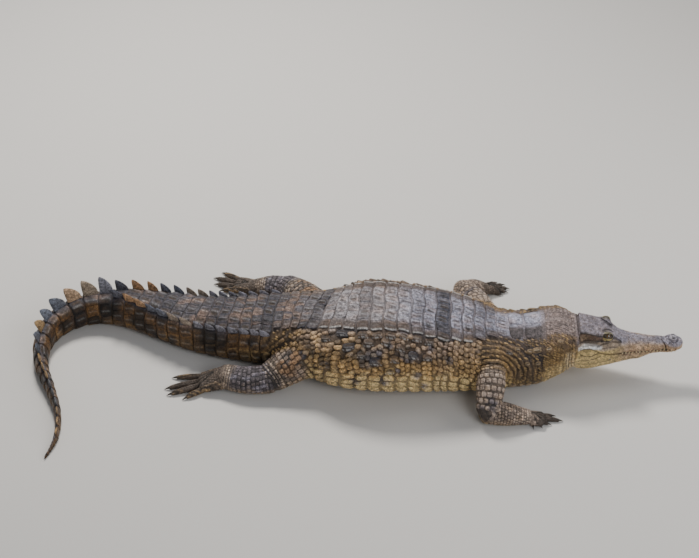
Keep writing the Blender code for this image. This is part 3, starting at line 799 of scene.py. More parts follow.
neck_folds = np.cos(2 * pi * behind_jaw / NECK_FOLD) * bell(behind_jaw - 14, 12) * (up < 22)
dent += np.where(behind_jaw > 2.5, neck_folds, 0)
# the rim of the skull table, and the dip inside it
table_edge = station_values([(row[0], row[9], row[10]) for row in UPPER], u)
from_edge = np.hypot(out - table_edge[:, 0], up - table_edge[:, 1])
dent += 0.7 * bell(from_edge, 1.6) * (ramp(u, -1, 3) * ramp(u, 56, -8))
# the table ends in an overhanging rim, with a deep cleft between it and the neck
in_cleft = bell(u + 3.6, 2.3) * ramp(out, 34, -4)
dent += -5.0 * in_cleft * ramp(up, 30, 8)
# low bony swellings down the snout
dent += 0.35 * np.sin(u / 4.1 + 1.3) * np.sin(out / 2.9 + 0.4) * ramp(u, 70, 20)
# nostrils: a crescent slit in each raised button
button = button_share(head)
dent += 0.9 * bell(button, 0.85, 6) * (up > 10)
dent -= 0.8 * bell(button - 1.06, 0.1) * (up > 10)
dent += -2.8 * bell(slit_share(head, 4.0, 1.3), 1) * (up > 12)
points[on_head] += normals[on_head] * dent[:, None] / 1000

# folds round the shoulders and thighs, and rings down the limbs
along, turn, depth_share = body_place(points)
LIMB_FOLDS = {"right_fore": 1.7, "left_fore": 0.7, "right_hind": 1.1, "left_hind": 1.1}
for limb, strength in LIMB_FOLDS.items():
    rows = np.array(LIMBS[limb][0]) + [*SHIFT, 0, 0]
    near = np.flatnonzero(norm(points - rows[1, :3], axis=1) < 0.19)
    down, round_limb, share = limb_place(points[near], limb)
    fold, folded = root_folds(points[near], limb, down, share)
    fold = 1.4 * fold * folded * np.clip((depth_share[near] - 0.93) * 20, 0, 1)
    beyond = (share - 1) * rows[:, 3:].mean() * 1000
    on_limb = np.clip(1 - beyond / 5, 0, 1) * ramp(down, 12, 20)
    wobble = 2.4 * np.sin(3 * round_limb + down / 17) + 1.5 * np.sin(5 * round_limb - down / 9)
    fold += 0.22 * np.cos(2 * pi * (down + wobble) / 9.5) * on_limb * ramp(down, 155, -40)
    points[near] += normals[near] * (strength * fold / 1000)[:, None]
# the bones of the foot show between the wrist or ankle and each toe, with hide drawn in between
TOE_VALLEYS = []
for limb, digits in DIGITS.items():
    roots = np.array([root for root, tip in digits]) + SHIFT[:2]
    ahead = unit(np.array([tip for root, tip in digits]) + SHIFT[:2] - roots)
    wrist = roots.mean(axis=0) - ahead.mean(axis=0) * (0.042 if "hind" in limb else 0.026)
    for one in range(len(digits)):
        near = np.flatnonzero(norm(points[:, :2] - roots[one], axis=1) < 0.05)
        on_back = np.clip(normals[near, 2] * 2, 0, 1)
        bone = np.array([roots[one], wrist + (roots[one] - wrist) * 0.35]) * 1000
        points[near, 2] += 0.0011 * on_back * bell(from_path(points[near, :2] * 1000, bone), 2.8)
        if one:
            between = (roots[one] + roots[one - 1]) / 2
            front = between + (ahead[one] + ahead[one - 1]) * 0.003
            valley = np.array([front, wrist + (between - wrist) * 0.15]) * 1000
            TOE_VALLEYS.append(valley)
            points[near, 2] -= 0.0017 * on_back * bell(from_path(points[near, :2] * 1000, valley), 2.2)
points[:, 2] = np.maximum(points[:, 2], 0.0006)
write_points(skin_mesh, points)

# The cast skin is far finer than it needs to be on the flat of the back and belly: it is thinned
# there, under the scales, and kept fine on the head, hands and feet.
SKIN_FACES = 182000
flat = np.ones(len(points))
flat[place[:, 0] > -30] = 0.12
flat[(depth_share > 1.12) & (place[:, 0] < -30)] = 0.35
flat[points[:, 2] < 0.006] = 1.0
group = skin.vertex_groups.new(name="thin")
for level in np.unique(flat):
    group.add(np.flatnonzero(flat == level).tolist(), float(level), "REPLACE")
thinning = skin.modifiers.new("thin", "DECIMATE")
thinning.ratio = SKIN_FACES / (2 * len(skin_mesh.polygons))
thinning.vertex_group = "thin"
thinning.vertex_group_factor = 1.0
skin_mesh = finished(skin)
skin.vertex_groups.clear()
print("skin", len(skin_mesh.polygons), "faces")


# ---- Eyelids ----
# Thick horny lids stand round each eye in a pointed oval. They are part of the same hide, drawn out
# from the lip of the opening over the eye's mound, with fine folds running round them.

EYE_AXIS = unit(np.array([0.02, 0.78, 0.62]))
EYE_AHEAD = unit(np.array([1.0, 0, 0]) - EYE_AXIS[0] * EYE_AXIS)
EYE_UP = np.cross(EYE_AHEAD, EYE_AXIS)
OPEN_LONG = 0.90  # the opening's half length, as a share of the eye's radius
OPEN_TALL = 0.50  # and its half height
# share from the lip of the opening to the foot of the lid; distance from the eye's centre
LID_PROFILE = [(0, 8.3), (0.05, 8.95), (0.12, 9.7), (0.22, 10.25), (0.36, 10.45), (0.50, 10.2),
               (0.62, 10.45), (0.78, 10.3), (0.90, 9.9), (1, 8.8)]
LID_REACH = radians(86)


def lid_points(round_eye, share):
    """Lid surface in millimetres from the eye's centre, as ahead, up and outward amounts."""
    ahead = OPEN_LONG * np.cos(round_eye)
    up = OPEN_TALL * np.sign(np.sin(round_eye)) * np.abs(np.sin(round_eye)) ** 1.25
    lip = np.arcsin(np.clip(np.hypot(ahead, up), 0, 0.995))
    angle = lip + (LID_REACH - lip) * share
    toward = np.arctan2(up, ahead)
    size = np.interp(share, *zip(*LID_PROFILE))
    size = size + 0.22 * np.sin(share * 26) * np.clip((share - 0.3) * 4, 0, 1)
    size = size + 0.5 * np.clip(np.sin(round_eye), 0, 1) * bell(share - 0.25, 0.2)
    return (EYE_AXIS * (size * np.cos(angle))[:, None]
            + EYE_AHEAD * (size * np.sin(angle) * np.cos(toward))[:, None]
            + EYE_UP * (size * np.sin(angle) * np.sin(toward))[:, None])


def beside_eye(around, side):
    """Points of the frame, from millimetres about the left eye's centre, on either side."""
    u, out, up = (around + EYE_PLACE).T
    return head_point(u, side * out, up) + SHIFT


with_lids = bmesh.new()
with_lids.from_mesh(skin_mesh)
for side in (1, -1):
    lid = bmesh.new()
    bmesh.ops.create_grid(lid, x_segments=72, y_segments=18, size=1)
    at = np.array([vert.co for vert in lid.verts])
    for vert, spot in zip(lid.verts, beside_eye(lid_points(at[:, 0] * pi, (at[:, 1] + 1) / 2), side)):
        vert.co = spot
    bmesh.ops.remove_doubles(lid, verts=lid.verts, dist=1e-5)
    bmesh.ops.recalc_face_normals(lid, faces=lid.faces)
    outward = Vector(head_point(59, side * 60, 60) - head_point(59, side * 25.5, 34))
    if sum(face.normal.dot(outward) for face in lid.faces) < 0:
        bmesh.ops.reverse_faces(lid, faces=lid.faces)
    lid_mesh = poured(lid, "lid")
    with_lids.from_mesh(lid_mesh)
    bpy.data.meshes.remove(lid_mesh)
with_lids.to_mesh(skin_mesh)
with_lids.free()


# ---- Markings ----
# One paint scheme for the hide and every scale on it: lavender grey along the back, ochre down
# the flanks, cream below, with dark crossbands that break into blotches and an orange wash
# between them on the tail. The head is grey-violet above and olive-cream along the jaws.

def tint(red, green, blue):
    """A paint colour from its 0-255 value, as light sees it."""
    value = np.array([red, green, blue]) / 255
    return np.where(value <= 0.04045, value / 12.92, ((value + 0.055) / 1.055) ** 2.4)


LAVENDER = tint(180, 174, 178)
BLUE_BLACK = tint(58, 60, 72)
UMBER = tint(122, 98, 74)
OCHRE = tint(150, 116, 62)
CREAM = tint(226, 198, 142)
RUST = tint(168, 122, 84)
BONE_WHITE = tint(216, 212, 208)
BARK = tint(88, 66, 46)
SKIN_SHADE = tint(66, 54, 42)

chance = np.random.default_rng(7)
WAVES = unit(chance.normal(size=(14, 3)))
PHASES = chance.uniform(0, 2 * pi, size=14)


def mottle(points, size, seed=0):
    """A smooth irregular field, about -1 to 1, whose patches are about size across."""
    total = np.zeros(len(points))
    for index in range(6):
        wave = WAVES[(index + 3 * seed) % 14] * (pi / size) * (0.8 + 0.12 * index)
        total += np.sin(points @ wave + PHASES[(index + 5 * seed) % 14] * (1 + seed))
    return total / 2.6


def rise(value, low, high):
    """0 below low, 1 above high, and a soft rise between them."""
    t = np.clip((value - low) / (high - low), 0, 1)
    return t * t * (3 - 2 * t)


def fall(value, low, high):
    """1 below low, 0 above high."""
    return rise(-value, -high, -low)


def over(base, colour, amount):
    """A coat of paint over a base; a colour of three whole numbers is a 0-255 value."""
    colour = tint(*colour) if isinstance(colour, tuple) else colour
    return base + (colour - base) * np.asarray(amount)[:, None]


def coats(base, *layers):
    """Coats of paint, each a colour and its amount, laid in turn."""
    for colour, amount in layers:
        base = over(base, colour, amount)
    return base


# Crossbands: millimetres along, half width, how dark on the back
BANDS = [(186, 26, 0.50), (276, 15, 0.95), (318, 14, 0.35), (442, 14, 0.40), (540, 16, 0.85),
         (655, 22, 0.70), (765, 26, 0.80), (895, 26, 0.85), (1030, 26, 0.90), (1125, 20, 0.85),
         (1205, 20, 0.85), (1285, 18, 0.85), (1360, 16, 0.85), (1430, 14, 0.85), (1500, 12, 0.85)]
# Single dark blotches on the flank: millimetres along, turn from the ridge in degrees, radius
FLANK_BLOTCHES = [
    (480, 36, 15), (466, 53, 17), (428, 66, 25), (412, 60, 18), (398, 92, 14), (345, 58, 20),
    (326, 84, 13), (500, 80, 12), (452, 96, 12), (372, 78, 10), (104, 60, 12), (78, 56, 10),
    (545, 74, 10), (310, 102, 10), (560, 30, 12), (300, 50, 10), (262, 62, 9), (388, 48, 8),
    (685, 72, 14), (775, 84, 30), (862, 104, 15), (945, 86, 32), (1035, 62, 24), (1072, 104, 20),
    (1165, 80, 18), (1320, 70, 16)]
# How far round the body the back's grey reaches: distances along, shares of the half girth
BACK_EDGE = ([0.0, 0.06, 0.14, 0.20, 0.30, 0.36, 0.43, 0.58, 0.65, 0.80, 0.92, 1.00, 1.10],
             [0.20, 0.16, 0.15, 0.185, 0.225, 0.22, 0.22, 0.21, 0.31, 0.34, 0.30, 0.20, 0.14])


def body_colour(points, along, turn, down_side, wide, fine):
    """The colours of the back, flanks, belly and tail, with their bands and blotches."""
    tail = rise(along, 0.60, 0.74)
    rump = rise(along, 0.49, 0.61)
    edge = np.interp(along, *BACK_EDGE) + 0.012 * wide
    # browner over the armour's outer columns, on both sides alike
    outer_brown = rise(down_side, edge * 0.55, edge * 0.72) * rise(along, 0.137, 0.15) * (1 - tail)
    arc = arc_of_turn(along, turn)
    shield = rise(along, 0.058, 0.066) * fall(along, 0.135, 0.139)
    # painted shade: the nuchal shield is darker on its right side, away from the key light, and along its
    # far left edge
    shield_painted_shade = fall(arc, -0.018, -0.008) + rise(arc, 0.030, 0.036)
    colour = coats(
        np.tile(LAVENDER, (len(points), 1)),
        ((176, 178, 200), 0.75 * fall(along, 0.30, 0.42)),
        (RUST, 0.30 * rise(fine, -0.2, 1.2) + 0.18 * tail * rise(wide, -0.6, 0.8)),
        ((77, 75, 83), 0.90 * rump),
        ((158, 128, 108), 0.6 * rump * rise(wide + fine, 0.1, 1.0)),
        ((116, 96, 82), outer_brown * (0.45 + 0.35 * rise(fine, -0.5, 0.8))),
        ((142, 122, 110), 0.85 * fall(along, 0.058, 0.066)),
        (UMBER, 0.85 * rise(down_side, edge - 0.015, edge + 0.015)),
        ((116, 78, 26), 0.75 * rise(down_side, edge, edge + 0.03) * tail),
        (OCHRE, 0.75 * rise(down_side, edge + 0.08, edge + 0.20) * (1 - tail)),
        (CREAM, 0.85 * rise(down_side + 0.04 * fine, 0.44, 0.56) * (1 - 0.9 * tail)),
        ((78, 66, 60), 0.9 * shield * shield_painted_shade))
    bands = np.zeros(len(points))
    for centre, half, strength in BANDS:
        from_centre = along - centre / 1000 + 0.005 * wide
        bands = np.maximum(bands, strength * bell(from_centre, half / 1000, 4))
    broken = rise(wide + 0.5 * fine, -1.0, 0.3)
    on_side = rise(down_side, edge, edge + 0.06)
    bands = bands * ((1 - on_side) * (0.45 + 0.55 * broken) + on_side * broken * (0.30 + 0.72 * tail))
    bands *= 1 - 0.55 * rise(down_side, 0.62, 0.85)
    colour = coats(colour, (BLUE_BLACK, bands), ((9, 7, 6), 0.95 * bands * tail * on_side))
    ink = BLUE_BLACK + (tint(13, 10, 8) - BLUE_BLACK) * tail[:, None]
    for centre, degrees, radius in FLANK_BLOTCHES:
        centre, radius = centre / 1000, radius / 1000
        # the far side's blotch lies a little behind and below its fellow
        for at, turned in ((centre, -degrees), (centre + 0.013, degrees + 7)):
            middle = body_point(np.array([at]), np.array([radians(turned)]))
            far = norm(points - middle, axis=1) + 0.003 * fine
            colour = over(colour, ink, 0.90 * fall(far, radius * 0.7, radius * 1.15))
    neck = fall(along, 0.10, 0.13) * rise(down_side, 0.22, 0.30)
    neck *= 1 - 0.85 * rise(down_side + 0.03 * fine, 0.40, 0.52)
    return over(colour, (46, 36, 28), 0.62 * neck * rise(wide + 0.8 * fine, -1.2, 0.4)), edge


def limb_colour(points, limb, down, round_limb, fine):
    """The paint of one limb, by millimetres down it and turn round it."""
    top = np.cos(round_limb)
    is_hind = float("hind" in limb)
    rough = 0.6 * mottle(points, 0.019, 2) + 0.6 * mottle(points, 0.0075, 4)
    coarse = mottle(points, 0.030, 5)
    on_arm = 1 - 0.85 * rise(down, 185, 205)
    thigh = is_hind * fall(down, 96, 112)
    shank = is_hind * rise(down, 104, 122) * fall(down, 204, 222)
    forearm = (1 - is_hind) * rise(down, 100, 112)
    elbow = (1 - is_hind) * bell(down - 98, 15, 4) * rise(rough, -0.4, 0.3) * rise(top, -0.3, 0.2)
    # painted shade in fine pleats at the fore limb's root and at the hind knee and ankle, with painted
    # light between them
    pleat = np.cos(2 * pi * (down + 2 * np.sin(2 * round_limb)) / 5.6)
    pleated = bell(down - (114 if is_hind else 24), 17 if is_hind else 16, 4)
    pleated += is_hind * bell(down - 216, 12, 4)
    in_patch = rise(rough, -0.1, 0.35)
    return coats(
        np.tile(tint(154, 136, 122), (len(points), 1)),
        (OCHRE, (0.45 * fall(top, -0.7, 0.2) + 0.20 * rise(fine, 0, 1)) * on_arm),
        (CREAM, 0.6 * fall(top, -0.95, -0.5) * on_arm),
        ((44, 40, 42), 0.75 * thigh * in_patch * rise(top, -0.2, 0.3)),
        ((156, 112, 66), 0.65 * thigh * rise(coarse, -0.2, 0.5) * (1 - in_patch)),
        ((70, 69, 82), 0.78 * shank * rise(top + 0.25 * rough, -0.35, 0.2)),
        ((150, 146, 160), 0.45 * shank * rise(fine, 0.2, 0.9)),
        ((62, 62, 76), 0.75 * elbow),
        ((66, 56, 50), 0.55 * forearm * rise(rough, 0.0, 0.5)),
        ((30, 25, 24), 0.75 * pleated * rise(pleat, 0.0, 0.8)),
        ((206, 182, 150), 0.45 * pleated * rise(-pleat, 0.2, 0.9)),
        ((70, 60, 52), 0.8 * rise(down, 215, 236)))


FIRST_TOOTH = 94  # where the row of teeth begins, and millimetres between them
TOOTH_PITCH = 7.6


def eye_ring(head):
    """Distance from the eye, share of its opening, and how far up and outward each place lies."""
    from_eye = head - np.array(EYE_PLACE)
    far = norm(from_eye, axis=1)
    toward = from_eye / np.maximum(far, 1e-6)[:, None]
    ring = np.hypot(toward @ EYE_AHEAD / OPEN_LONG, toward @ EYE_UP / OPEN_TALL)
    return far, ring, toward @ EYE_UP, toward @ EYE_AXIS


def head_colour(points, h, right_side):
    """The paint of the head, from head places with both sides brought to one."""
    u, out, up = h.T
    freckle = mottle(points, 0.0045, 3)
    above = up - mouth_at(h)
    # snout, jaws and the pale band under the eye
    snout = rise(u, 62, 90)
    side_up = np.interp(u, [0, 45, 60, 90, 104, 140, 180, 226], [5, 7, 12, 19, 22, 20, 17, 11])
    olive = fall(above, side_up * 0.55, side_up)
    side = fall(up, 22, 29) * rise(out, 18, 26) * fall(u, 84, 104)
    shelf = np.interp(u, [-4, 10, 30, 46], [16.5, 20.5, 19.8, 16.5])
    cheek = bell(up - shelf, 3.6, 4) * fall(u, 42, 50) * rise(u, -6, -3)
    # the ear flap and the lobe on it, and two marks on the jaw
    flap = rise(u, -4, -1) * fall(u, 50, 56) * rise(out, 29.3, 30.6)
    flap *= rise(up, 24.5, 26.5) * fall(up, 42, 43.5)
    lobe = bell(np.hypot((u - 7) / 9.5, (up - 33) / 5.6), 1, 4)
    jaw_spot = bell(np.hypot(u - 68, up + 18.8), 2.6, 4) * right_side
    bark_spot = bell(np.hypot((u - 99) / 7, (up + 11) / 3.6), 1, 4)
    # the line of the lips, and the dark between the teeth: painted shade in the mouth's seam and in the
    # gaps between the teeth
    lip_width = np.interp(u, [0, 20, 85, 110], [1.4, 2.0, 2.0, 1.3])
    lips = bell(above, lip_width) * rise(u, -4, 2) * rise(out, 8, 14)
    gaps = rise(-np.cos(2 * pi * (u - FIRST_TOOTH) / TOOTH_PITCH), -0.2, 0.5) * rise(u, 90, 93)
    gaps *= fall(u, 206, 212) * bell(above, 2.9, 4) * rise(out, 8, 12)
    paint = coats(
        np.tile(tint(146, 138, 146), (len(points), 1)),
        ((160, 155, 168), 0.8 * snout),
        (UMBER, 0.30 * rise(freckle, 0.2, 0.9) + 0.18 * rise(mottle(points, 0.016, 1), 0, 0.9)),
        ((182, 160, 134), 0.85 * side),
        ((222, 194, 126), 0.80 * olive * fall(u, 60, 120)),
        ((206, 168, 122), 0.78 * olive * rise(u, 60, 120)),
        (RUST, 0.55 * rise(u, 90, 110) * bell(above - 3.5, 3) * rise(freckle, -0.4, 0.7)),
        (BONE_WHITE * 1.4, 0.97 * cheek * rise(out, 38, 43)),
        (CREAM, 0.55 * fall(above, -26, -2)),
        ((112, 86, 62), 0.85 * flap),
        ((158, 132, 106), 0.85 * flap * lobe),
        ((96, 98, 104), 0.8 * jaw_spot),
        (BARK, 0.75 * bark_spot),
        ((34, 26, 20), 0.9 * lips),
        ((40, 28, 20), 0.85 * gaps))
    # painted shade along every crease of the head
    for path, depth, width in HEAD_CREASES:
        line = bell(from_path(h * SIDE_ON, np.array(path) * SIDE_ON), 1.15 + 0.25 * depth)
        paint = over(paint, (32, 25, 22), min(0.95, 0.50 + 0.34 * depth) * line)
    # painted shade in the deep cleft between the skull table and the neck
    cleft_shade = bell(u + 3.6, 2.0) * fall(out, 29, 34) * rise(up, 28, 33)
    # the lids: dark at the opening, gold along their edge, dark again in the fold round it
    eye_far, ring, upper, outward = eye_ring(h)
    lid_edge = np.where(upper > 0, 1.58, 1.86)
    on_lid = fall(eye_far, 11.6, 13.0) * rise(outward, -0.1, 0.1)
    lower_gold, upper_gold = tint(206, 182, 118), tint(150, 140, 108)
    gold = lower_gold + (upper_gold - lower_gold) * (upper > 0.3)[:, None]
    button = button_share(h)
    on_top = rise(up, 9, 13)
    rim = np.hypot(out - np.interp(u, [0, 12, 30, 44], [28.6, 30, 30, 29]),
                   up - np.interp(u, [0, 12, 30, 44], [43.5, 44, 39.2, 37]))
    return coats(
        paint,
        ((24, 20, 20), 0.9 * cleft_shade),
        ((112, 104, 92), 0.8 * on_lid),
        (gold, 0.9 * on_lid * rise(lid_edge - ring, -0.06, 0.06)),
        ((30, 24, 20), 0.95 * on_lid * fall(ring, 1.12, 1.26)),
        ((34, 29, 30), 0.85 * on_lid * bell(ring - lid_edge - 0.10, 0.10)),
        # the nostril button: a painted highlight on its top, and painted shade in the groove round it and
        # in the slit
        ((176, 172, 176), 0.5 * bell(button, 0.8, 6) * on_top),
        ((36, 33, 38), 0.7 * bell(button - 1.04, 0.10) * on_top),
        ((18, 16, 18), 0.95 * bell(slit_share(h, 4.6, 1.9), 1, 4) * on_top),
        ((188, 176, 170), 0.5 * bell(rim, 1.3) * fall(u, 44, 48) * rise(u, -2, 1)))


def hide_colour(points):
    """The painted colour of the hide at points of the frame."""
    along, turn, size = body_place(points)
    head = head_place(points)
    ring = np.clip((along / ARC_STEP).astype(int), 0, len(ARC_ALONG) - 1)
    down_side = np.abs(arc_of_turn(along, turn)) / ARC_LENGTH[ring, -1]
    wide = mottle(points, 0.034, 0)
    fine = mottle(points, 0.011, 1)
    colour, edge = body_colour(points, along, turn, down_side, wide, fine)

    for limb in LIMBS:
        near = near_limb(points, limb)
        down, round_limb, share = limb_place(points[near], limb)
        spread = 9 * rise(down, 200, 230)
        on = fall(share - spread, 1.12, 1.75) * rise(size[near], 0.98, 1.10) * rise(down, 5, 40)
        fold, folded = root_folds(points[near], limb, down, share)
        folded *= rise(down_side[near], edge[near], edge[near] + 0.06)
        colour[near] = coats(
            colour[near],
            (limb_colour(points[near], limb, down, round_limb, fine[near]), on),
            # painted light on the ridges of the folds round the limb's root, and painted shade in their
            # valleys
            ((196, 160, 108), 0.55 * folded * rise(fold, 0.1, 0.8)),
            (SKIN_SHADE * 0.6, 0.9 * folded * rise(-fold, 0.1, 0.8)))

    # painted shade in the valleys drawn in between the toes
    low = np.flatnonzero(points[:, 2] < 0.05)
    for valley in TOE_VALLEYS:
        gap = from_path(points[low, :2] * 1000, valley)
        colour[low] = over(colour[low], (24, 20, 18), 0.88 * bell(gap, 2.1) * (size[low] > 1.2))

    # the pleats of the neck behind the jaw: a pale wash, with painted shade in their valleys
    near = np.flatnonzero((head[:, 0] > -44) & (head[:, 0] < 22) & (head[:, 2] < 24))
    h = mirrored(head[near])
    past_jaw = past_jaw_back(h)
    past_jaw[past_jaw < 0] = -9
    pleated = bell(past_jaw - 15, 13, 4) * fall(h[:, 2], 10, 20)
    pleat = np.cos(2 * pi * past_jaw / NECK_FOLD)
    colour[near] = coats(colour[near], ((236, 212, 172), 0.60 * pleated),
                         ((60, 46, 34), 0.85 * pleated * rise(-pleat, 0.1, 0.8)))

    on_head = rise(head[:, 0], -12, 2)
    near = np.flatnonzero(on_head > 0)
    paint = head_colour(points[near], mirrored(head[near]), head[near, 1] < 0)
    colour[near] = over(colour[near], paint, on_head[near])
    speckle = 1 + 0.15 * mottle(points, 0.006, 2) + 0.10 * fine + 0.08 * mottle(points, 0.0042, 4)
    return np.clip(colour * speckle[:, None], 0.004, 0.9)


def colour_layer(mesh, colours):
    layer = mesh.color_attributes.new("hide", "FLOAT_COLOR", "POINT")
    rgba = np.ones((len(mesh.vertices), 4), np.float32)
    rgba[:, :3] = colours
    layer.data.foreach_set("color", rgba.ravel())


def node(tree, kind, inputs=(), **settings):
    """A new node of a kind, with its own settings and then its inputs."""
    made = tree.nodes.new("ShaderNode" + kind)
    for setting, value in settings.items():
        setattr(made, setting, value)
    feed(made, dict(inputs))
    return made


def hide_finish(name, roughness, grain, grain_height, cell, cell_height, lump_relief_and_shade):
    """Painted hide: the markings with fine freckling, over leather grain and small cells, with painted
    shade in the cells' furrows and in the hollows between larger lumps.
    """
    made, tree, shader = blank_finish(name)
    place = node(tree, "TexCoord").outputs["Object"]

    def noise(scale, detail, rough=0.5):
        return node(tree, "TexNoise", {"Vector": place, "Scale": scale, "Detail": detail,
                                       "Roughness": rough}).outputs["Fac"]

    def spread(value, least, most, low=0.0, high=1.0, **settings):
        return node(tree, "MapRange", {"Value": value, "From Min": low, "From Max": high, "To Min": least,
                                       "To Max": most}, **settings).outputs["Result"]

    def times(colour, amount):
        return node(tree, "VectorMath", {0: colour, "Scale": amount}, operation="SCALE").outputs["Vector"]

    def bump(height, distance, strength, **below):
        return node(tree, "Bump", {"Height": height, "Distance": distance, "Strength": strength,
                                   **below}).outputs["Normal"]

    tone = node(tree, "Attribute", attribute_name="hide").outputs["Color"]
    tone = times(tone, spread(noise(420, 5), 0.62, 1.34, 0.34, 0.68))
    # larger lumps, raised by a bump below and painted lighter on top: painted shade in the hollows between
    # them
    lumps = noise(170, 7, 0.72)
    tone = times(tone, spread(lumps, 1 - lump_relief_and_shade, 1 + lump_relief_and_shade, 0.40, 0.60))
    # the cells' furrows are painted darker: painted shade in the grooves that the bump below cuts
    cells = node(tree, "TexVoronoi", {"Vector": place, "Scale": cell}, feature="DISTANCE_TO_EDGE")
    furrow = spread(cells.outputs["Distance"], 0, 1, 0, 0.16, interpolation_type="SMOOTHSTEP")
    tone = times(tone, spread(furrow, 0.66, 1.05))
    grains = noise(grain, 6, 0.62)
    relief = bump(grains, grain_height, 0.9)
    relief = bump(furrow, cell_height, 0.9, Normal=relief)
    relief = bump(lumps, 0.0032, lump_relief_and_shade * 2, Normal=relief)
    feed(shader, {"Base Color": tone, "Normal": relief, "Specular IOR Level": 0.45,
                  "Roughness": spread(grains, roughness - 0.12, roughness + 0.14)})
    return made


skin_mesh.materials.clear()
skin_mesh.materials.append(hide_finish("skin_hide", 0.60, 700, 0.0010, 300, 0.0007, 0.22))
skin_mesh.shade_smooth()
skin_points = read_points(skin_mesh)
skin_colours = hide_colour(skin_points)
# the hide is darker between the plates of the limbs
for limb in LIMBS:
    near = near_limb(skin_points, limb)
    down, round_limb, share = limb_place(skin_points[near], limb)
    plated = fall(share, 1.1, 1.5) * rise(down, 30, 45) * fall(down, 190, 215)
    skin_colours[near] *= 1 - 0.55 * plated[:, None]
skin_along, skin_turn, skin_share = body_place(skin_points)
bare = (skin_along > 0.16) & (skin_share < 1.06) & (head_place(skin_points)[:, 0] < -20)
colour_layer(skin_mesh, over(skin_colours, SKIN_SHADE * 0.9, 0.50 * bare))
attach(skin, "root")
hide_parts(*[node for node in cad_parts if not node.startswith("eye")])


# ---- Armour of the back ----
# Horn-covered bony scutes in crosswise rows of squarish plates, from the neck to the hips. Each
# is one low keeled plate laid on the curve of the back, with its rear edge a little raised.

ARMOUR_ROWS = [0.0175, 0.046, 0.063, 0.103, 0.137, 0.162, 0.186, 0.2105, 0.235, 0.2605, 0.291, 0.318,
               0.345, 0.373, 0.402, 0.429, 0.455, 0.479, 0.504, 0.527, 0.551, 0.577, 0.598, 0.619, 0.640]
# Distance along, how far the armour reaches from the ridge, and plates in that reach
ARMOUR_REACH = [
    (0.032, 0.040, 2), (0.0545, 0.046, 2), (0.083, 0.041, 1), (0.120, 0.041, 1), (0.150, 0.036, 2),
    (0.174, 0.046, 2), (0.198, 0.060, 3), (0.223, 0.073, 3), (0.248, 0.076, 3), (0.276, 0.081, 4),
    (0.304, 0.079, 4), (0.331, 0.077, 4), (0.359, 0.075, 4), (0.387, 0.076, 3), (0.415, 0.078, 3),
    (0.442, 0.078, 3), (0.467, 0.073, 3), (0.491, 0.070, 3), (0.515, 0.068, 3), (0.539, 0.066, 3),
    (0.564, 0.064, 3), (0.587, 0.062, 3), (0.608, 0.061, 3), (0.629, 0.060, 3)]
GRAINY_ROWS = 2  # the first rows are of loose grains, and are laid with them
SHIELD_ENDS = 0.137  # the nuchal shield is ahead of this, the back's armour behind
ROW_GAP = 0.0024
COLUMN_GAP = 0.0004
SUNK = -0.45  # a scale's rim goes this deep into the hide, in its own height
BAKE_SPAN = 1.9  # the stretch of the body that one bake picture takes
coat_chance = np.random.default_rng(21)


def plate_form(across, lengthwise, corner, joined=False):
    """A blank plate over the square from -1 to 1; z is 1 on its top and below 0 at its sunk rim.

    A joined plate meets its neighbours at the sides in a shallow groove, over an upright skirt.
    """
    work = bmesh.new()
    bmesh.ops.create_grid(work, x_segments=across, y_segments=lengthwise, size=1)
    for vert in work.verts:
        u, v = [np.sign(one) * np.interp(abs(one), [0, 0.5, 0.7, 1], [0, 0.50, 0.85, 1])
                for one in vert.co.xy]
        reach = max(abs(u), abs(v))
        rounding = reach / max((abs(u) ** corner + abs(v) ** corner) ** (1 / corner), 1e-9)
        if joined:
            top = min(np.interp(abs(u), [0, 0.86, 1], [1.0, 0.98, 0.68]),
                      np.interp(abs(v), [0, 0.5, 0.86, 1], [1.0, 1.0, 0.90, 0.05]))
        else:
            top = np.interp(reach, [0, 0.5, 0.86, 1], [1.0, 1.0, 0.86, SUNK])
        vert.co = (u * rounding, v * rounding, top)
    if joined:
        rim = [edge for edge in work.edges if edge.is_boundary]
        for vert in bmesh.ops.extrude_edge_only(work, edges=rim)["geom"]:
            if isinstance(vert, bmesh.types.BMVert):
                vert.co.z = SUNK
    bmesh.ops.holes_fill(work, edges=[edge for edge in work.edges if edge.is_boundary], sides=0)
    bmesh.ops.recalc_face_normals(work, faces=work.faces)
    return work


def grain_form(sides, rings):
    """A small domed scale, flat underneath, over the same square."""
    work = bmesh.new()
    bmesh.ops.create_uvsphere(work, u_segments=sides, v_segments=rings, radius=1)
    for vert in work.verts:
        vert.co.z = max(vert.co.z, SUNK)
    return work


def paint_keel_light_and_shade(colours, keel_light_and_shade, count, copy, u, v, w):
    """Painted light and shade on keeled plates: painted shade in the hollows beside the keel, a painted
    shadow along one side of it and a painted highlight on the keel itself.
    """
    strength = keel_light_and_shade * coat_chance.uniform(0.3, 1, count)[copy] * (w > 0.5)
    strength *= rise(-np.abs(v), -0.9, -0.6)
    keel_shadow = np.where(coat_chance.uniform(size=count) < 0.5, 1.0, -1.0)[copy] * u
    keel_highlight = strength * np.clip(1 - np.abs(u) / 0.24, 0, 1)
    colours = coats(colours, (BARK * 0.6, 0.75 * strength * bell(np.abs(u) - 0.5, 0.24)),
                    (BARK * 0.35, 0.8 * np.clip(strength, 0, 1) * bell(keel_shadow - 0.26, 0.13)))
    return over(colours, 0.5 * colours + 0.3 * BONE_WHITE, 0.75 * np.clip(keel_highlight, 0, 1))


def plates_with_edge_highlight(colours, outer, framed, w):
    """Paint of the armour's outermost plates: brown, with a painted highlight along the outer edge."""
    return coats(colours, ((82, 64, 50), 0.55 * framed * rise(-np.abs(outer - 0.1), -0.8, -0.5)),
                 (BONE_WHITE * 0.75, 0.85 * rise(-np.abs(outer - 0.92), -0.16, -0.09) * (w > 0.5)))


def new_piece(name, mesh, finish):
    """A finished mesh as a piece of the model."""
    mesh.shade_smooth()
    mesh.materials.append(finish)
    piece = in_scene(name, mesh)
    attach(piece, "root")
    return piece


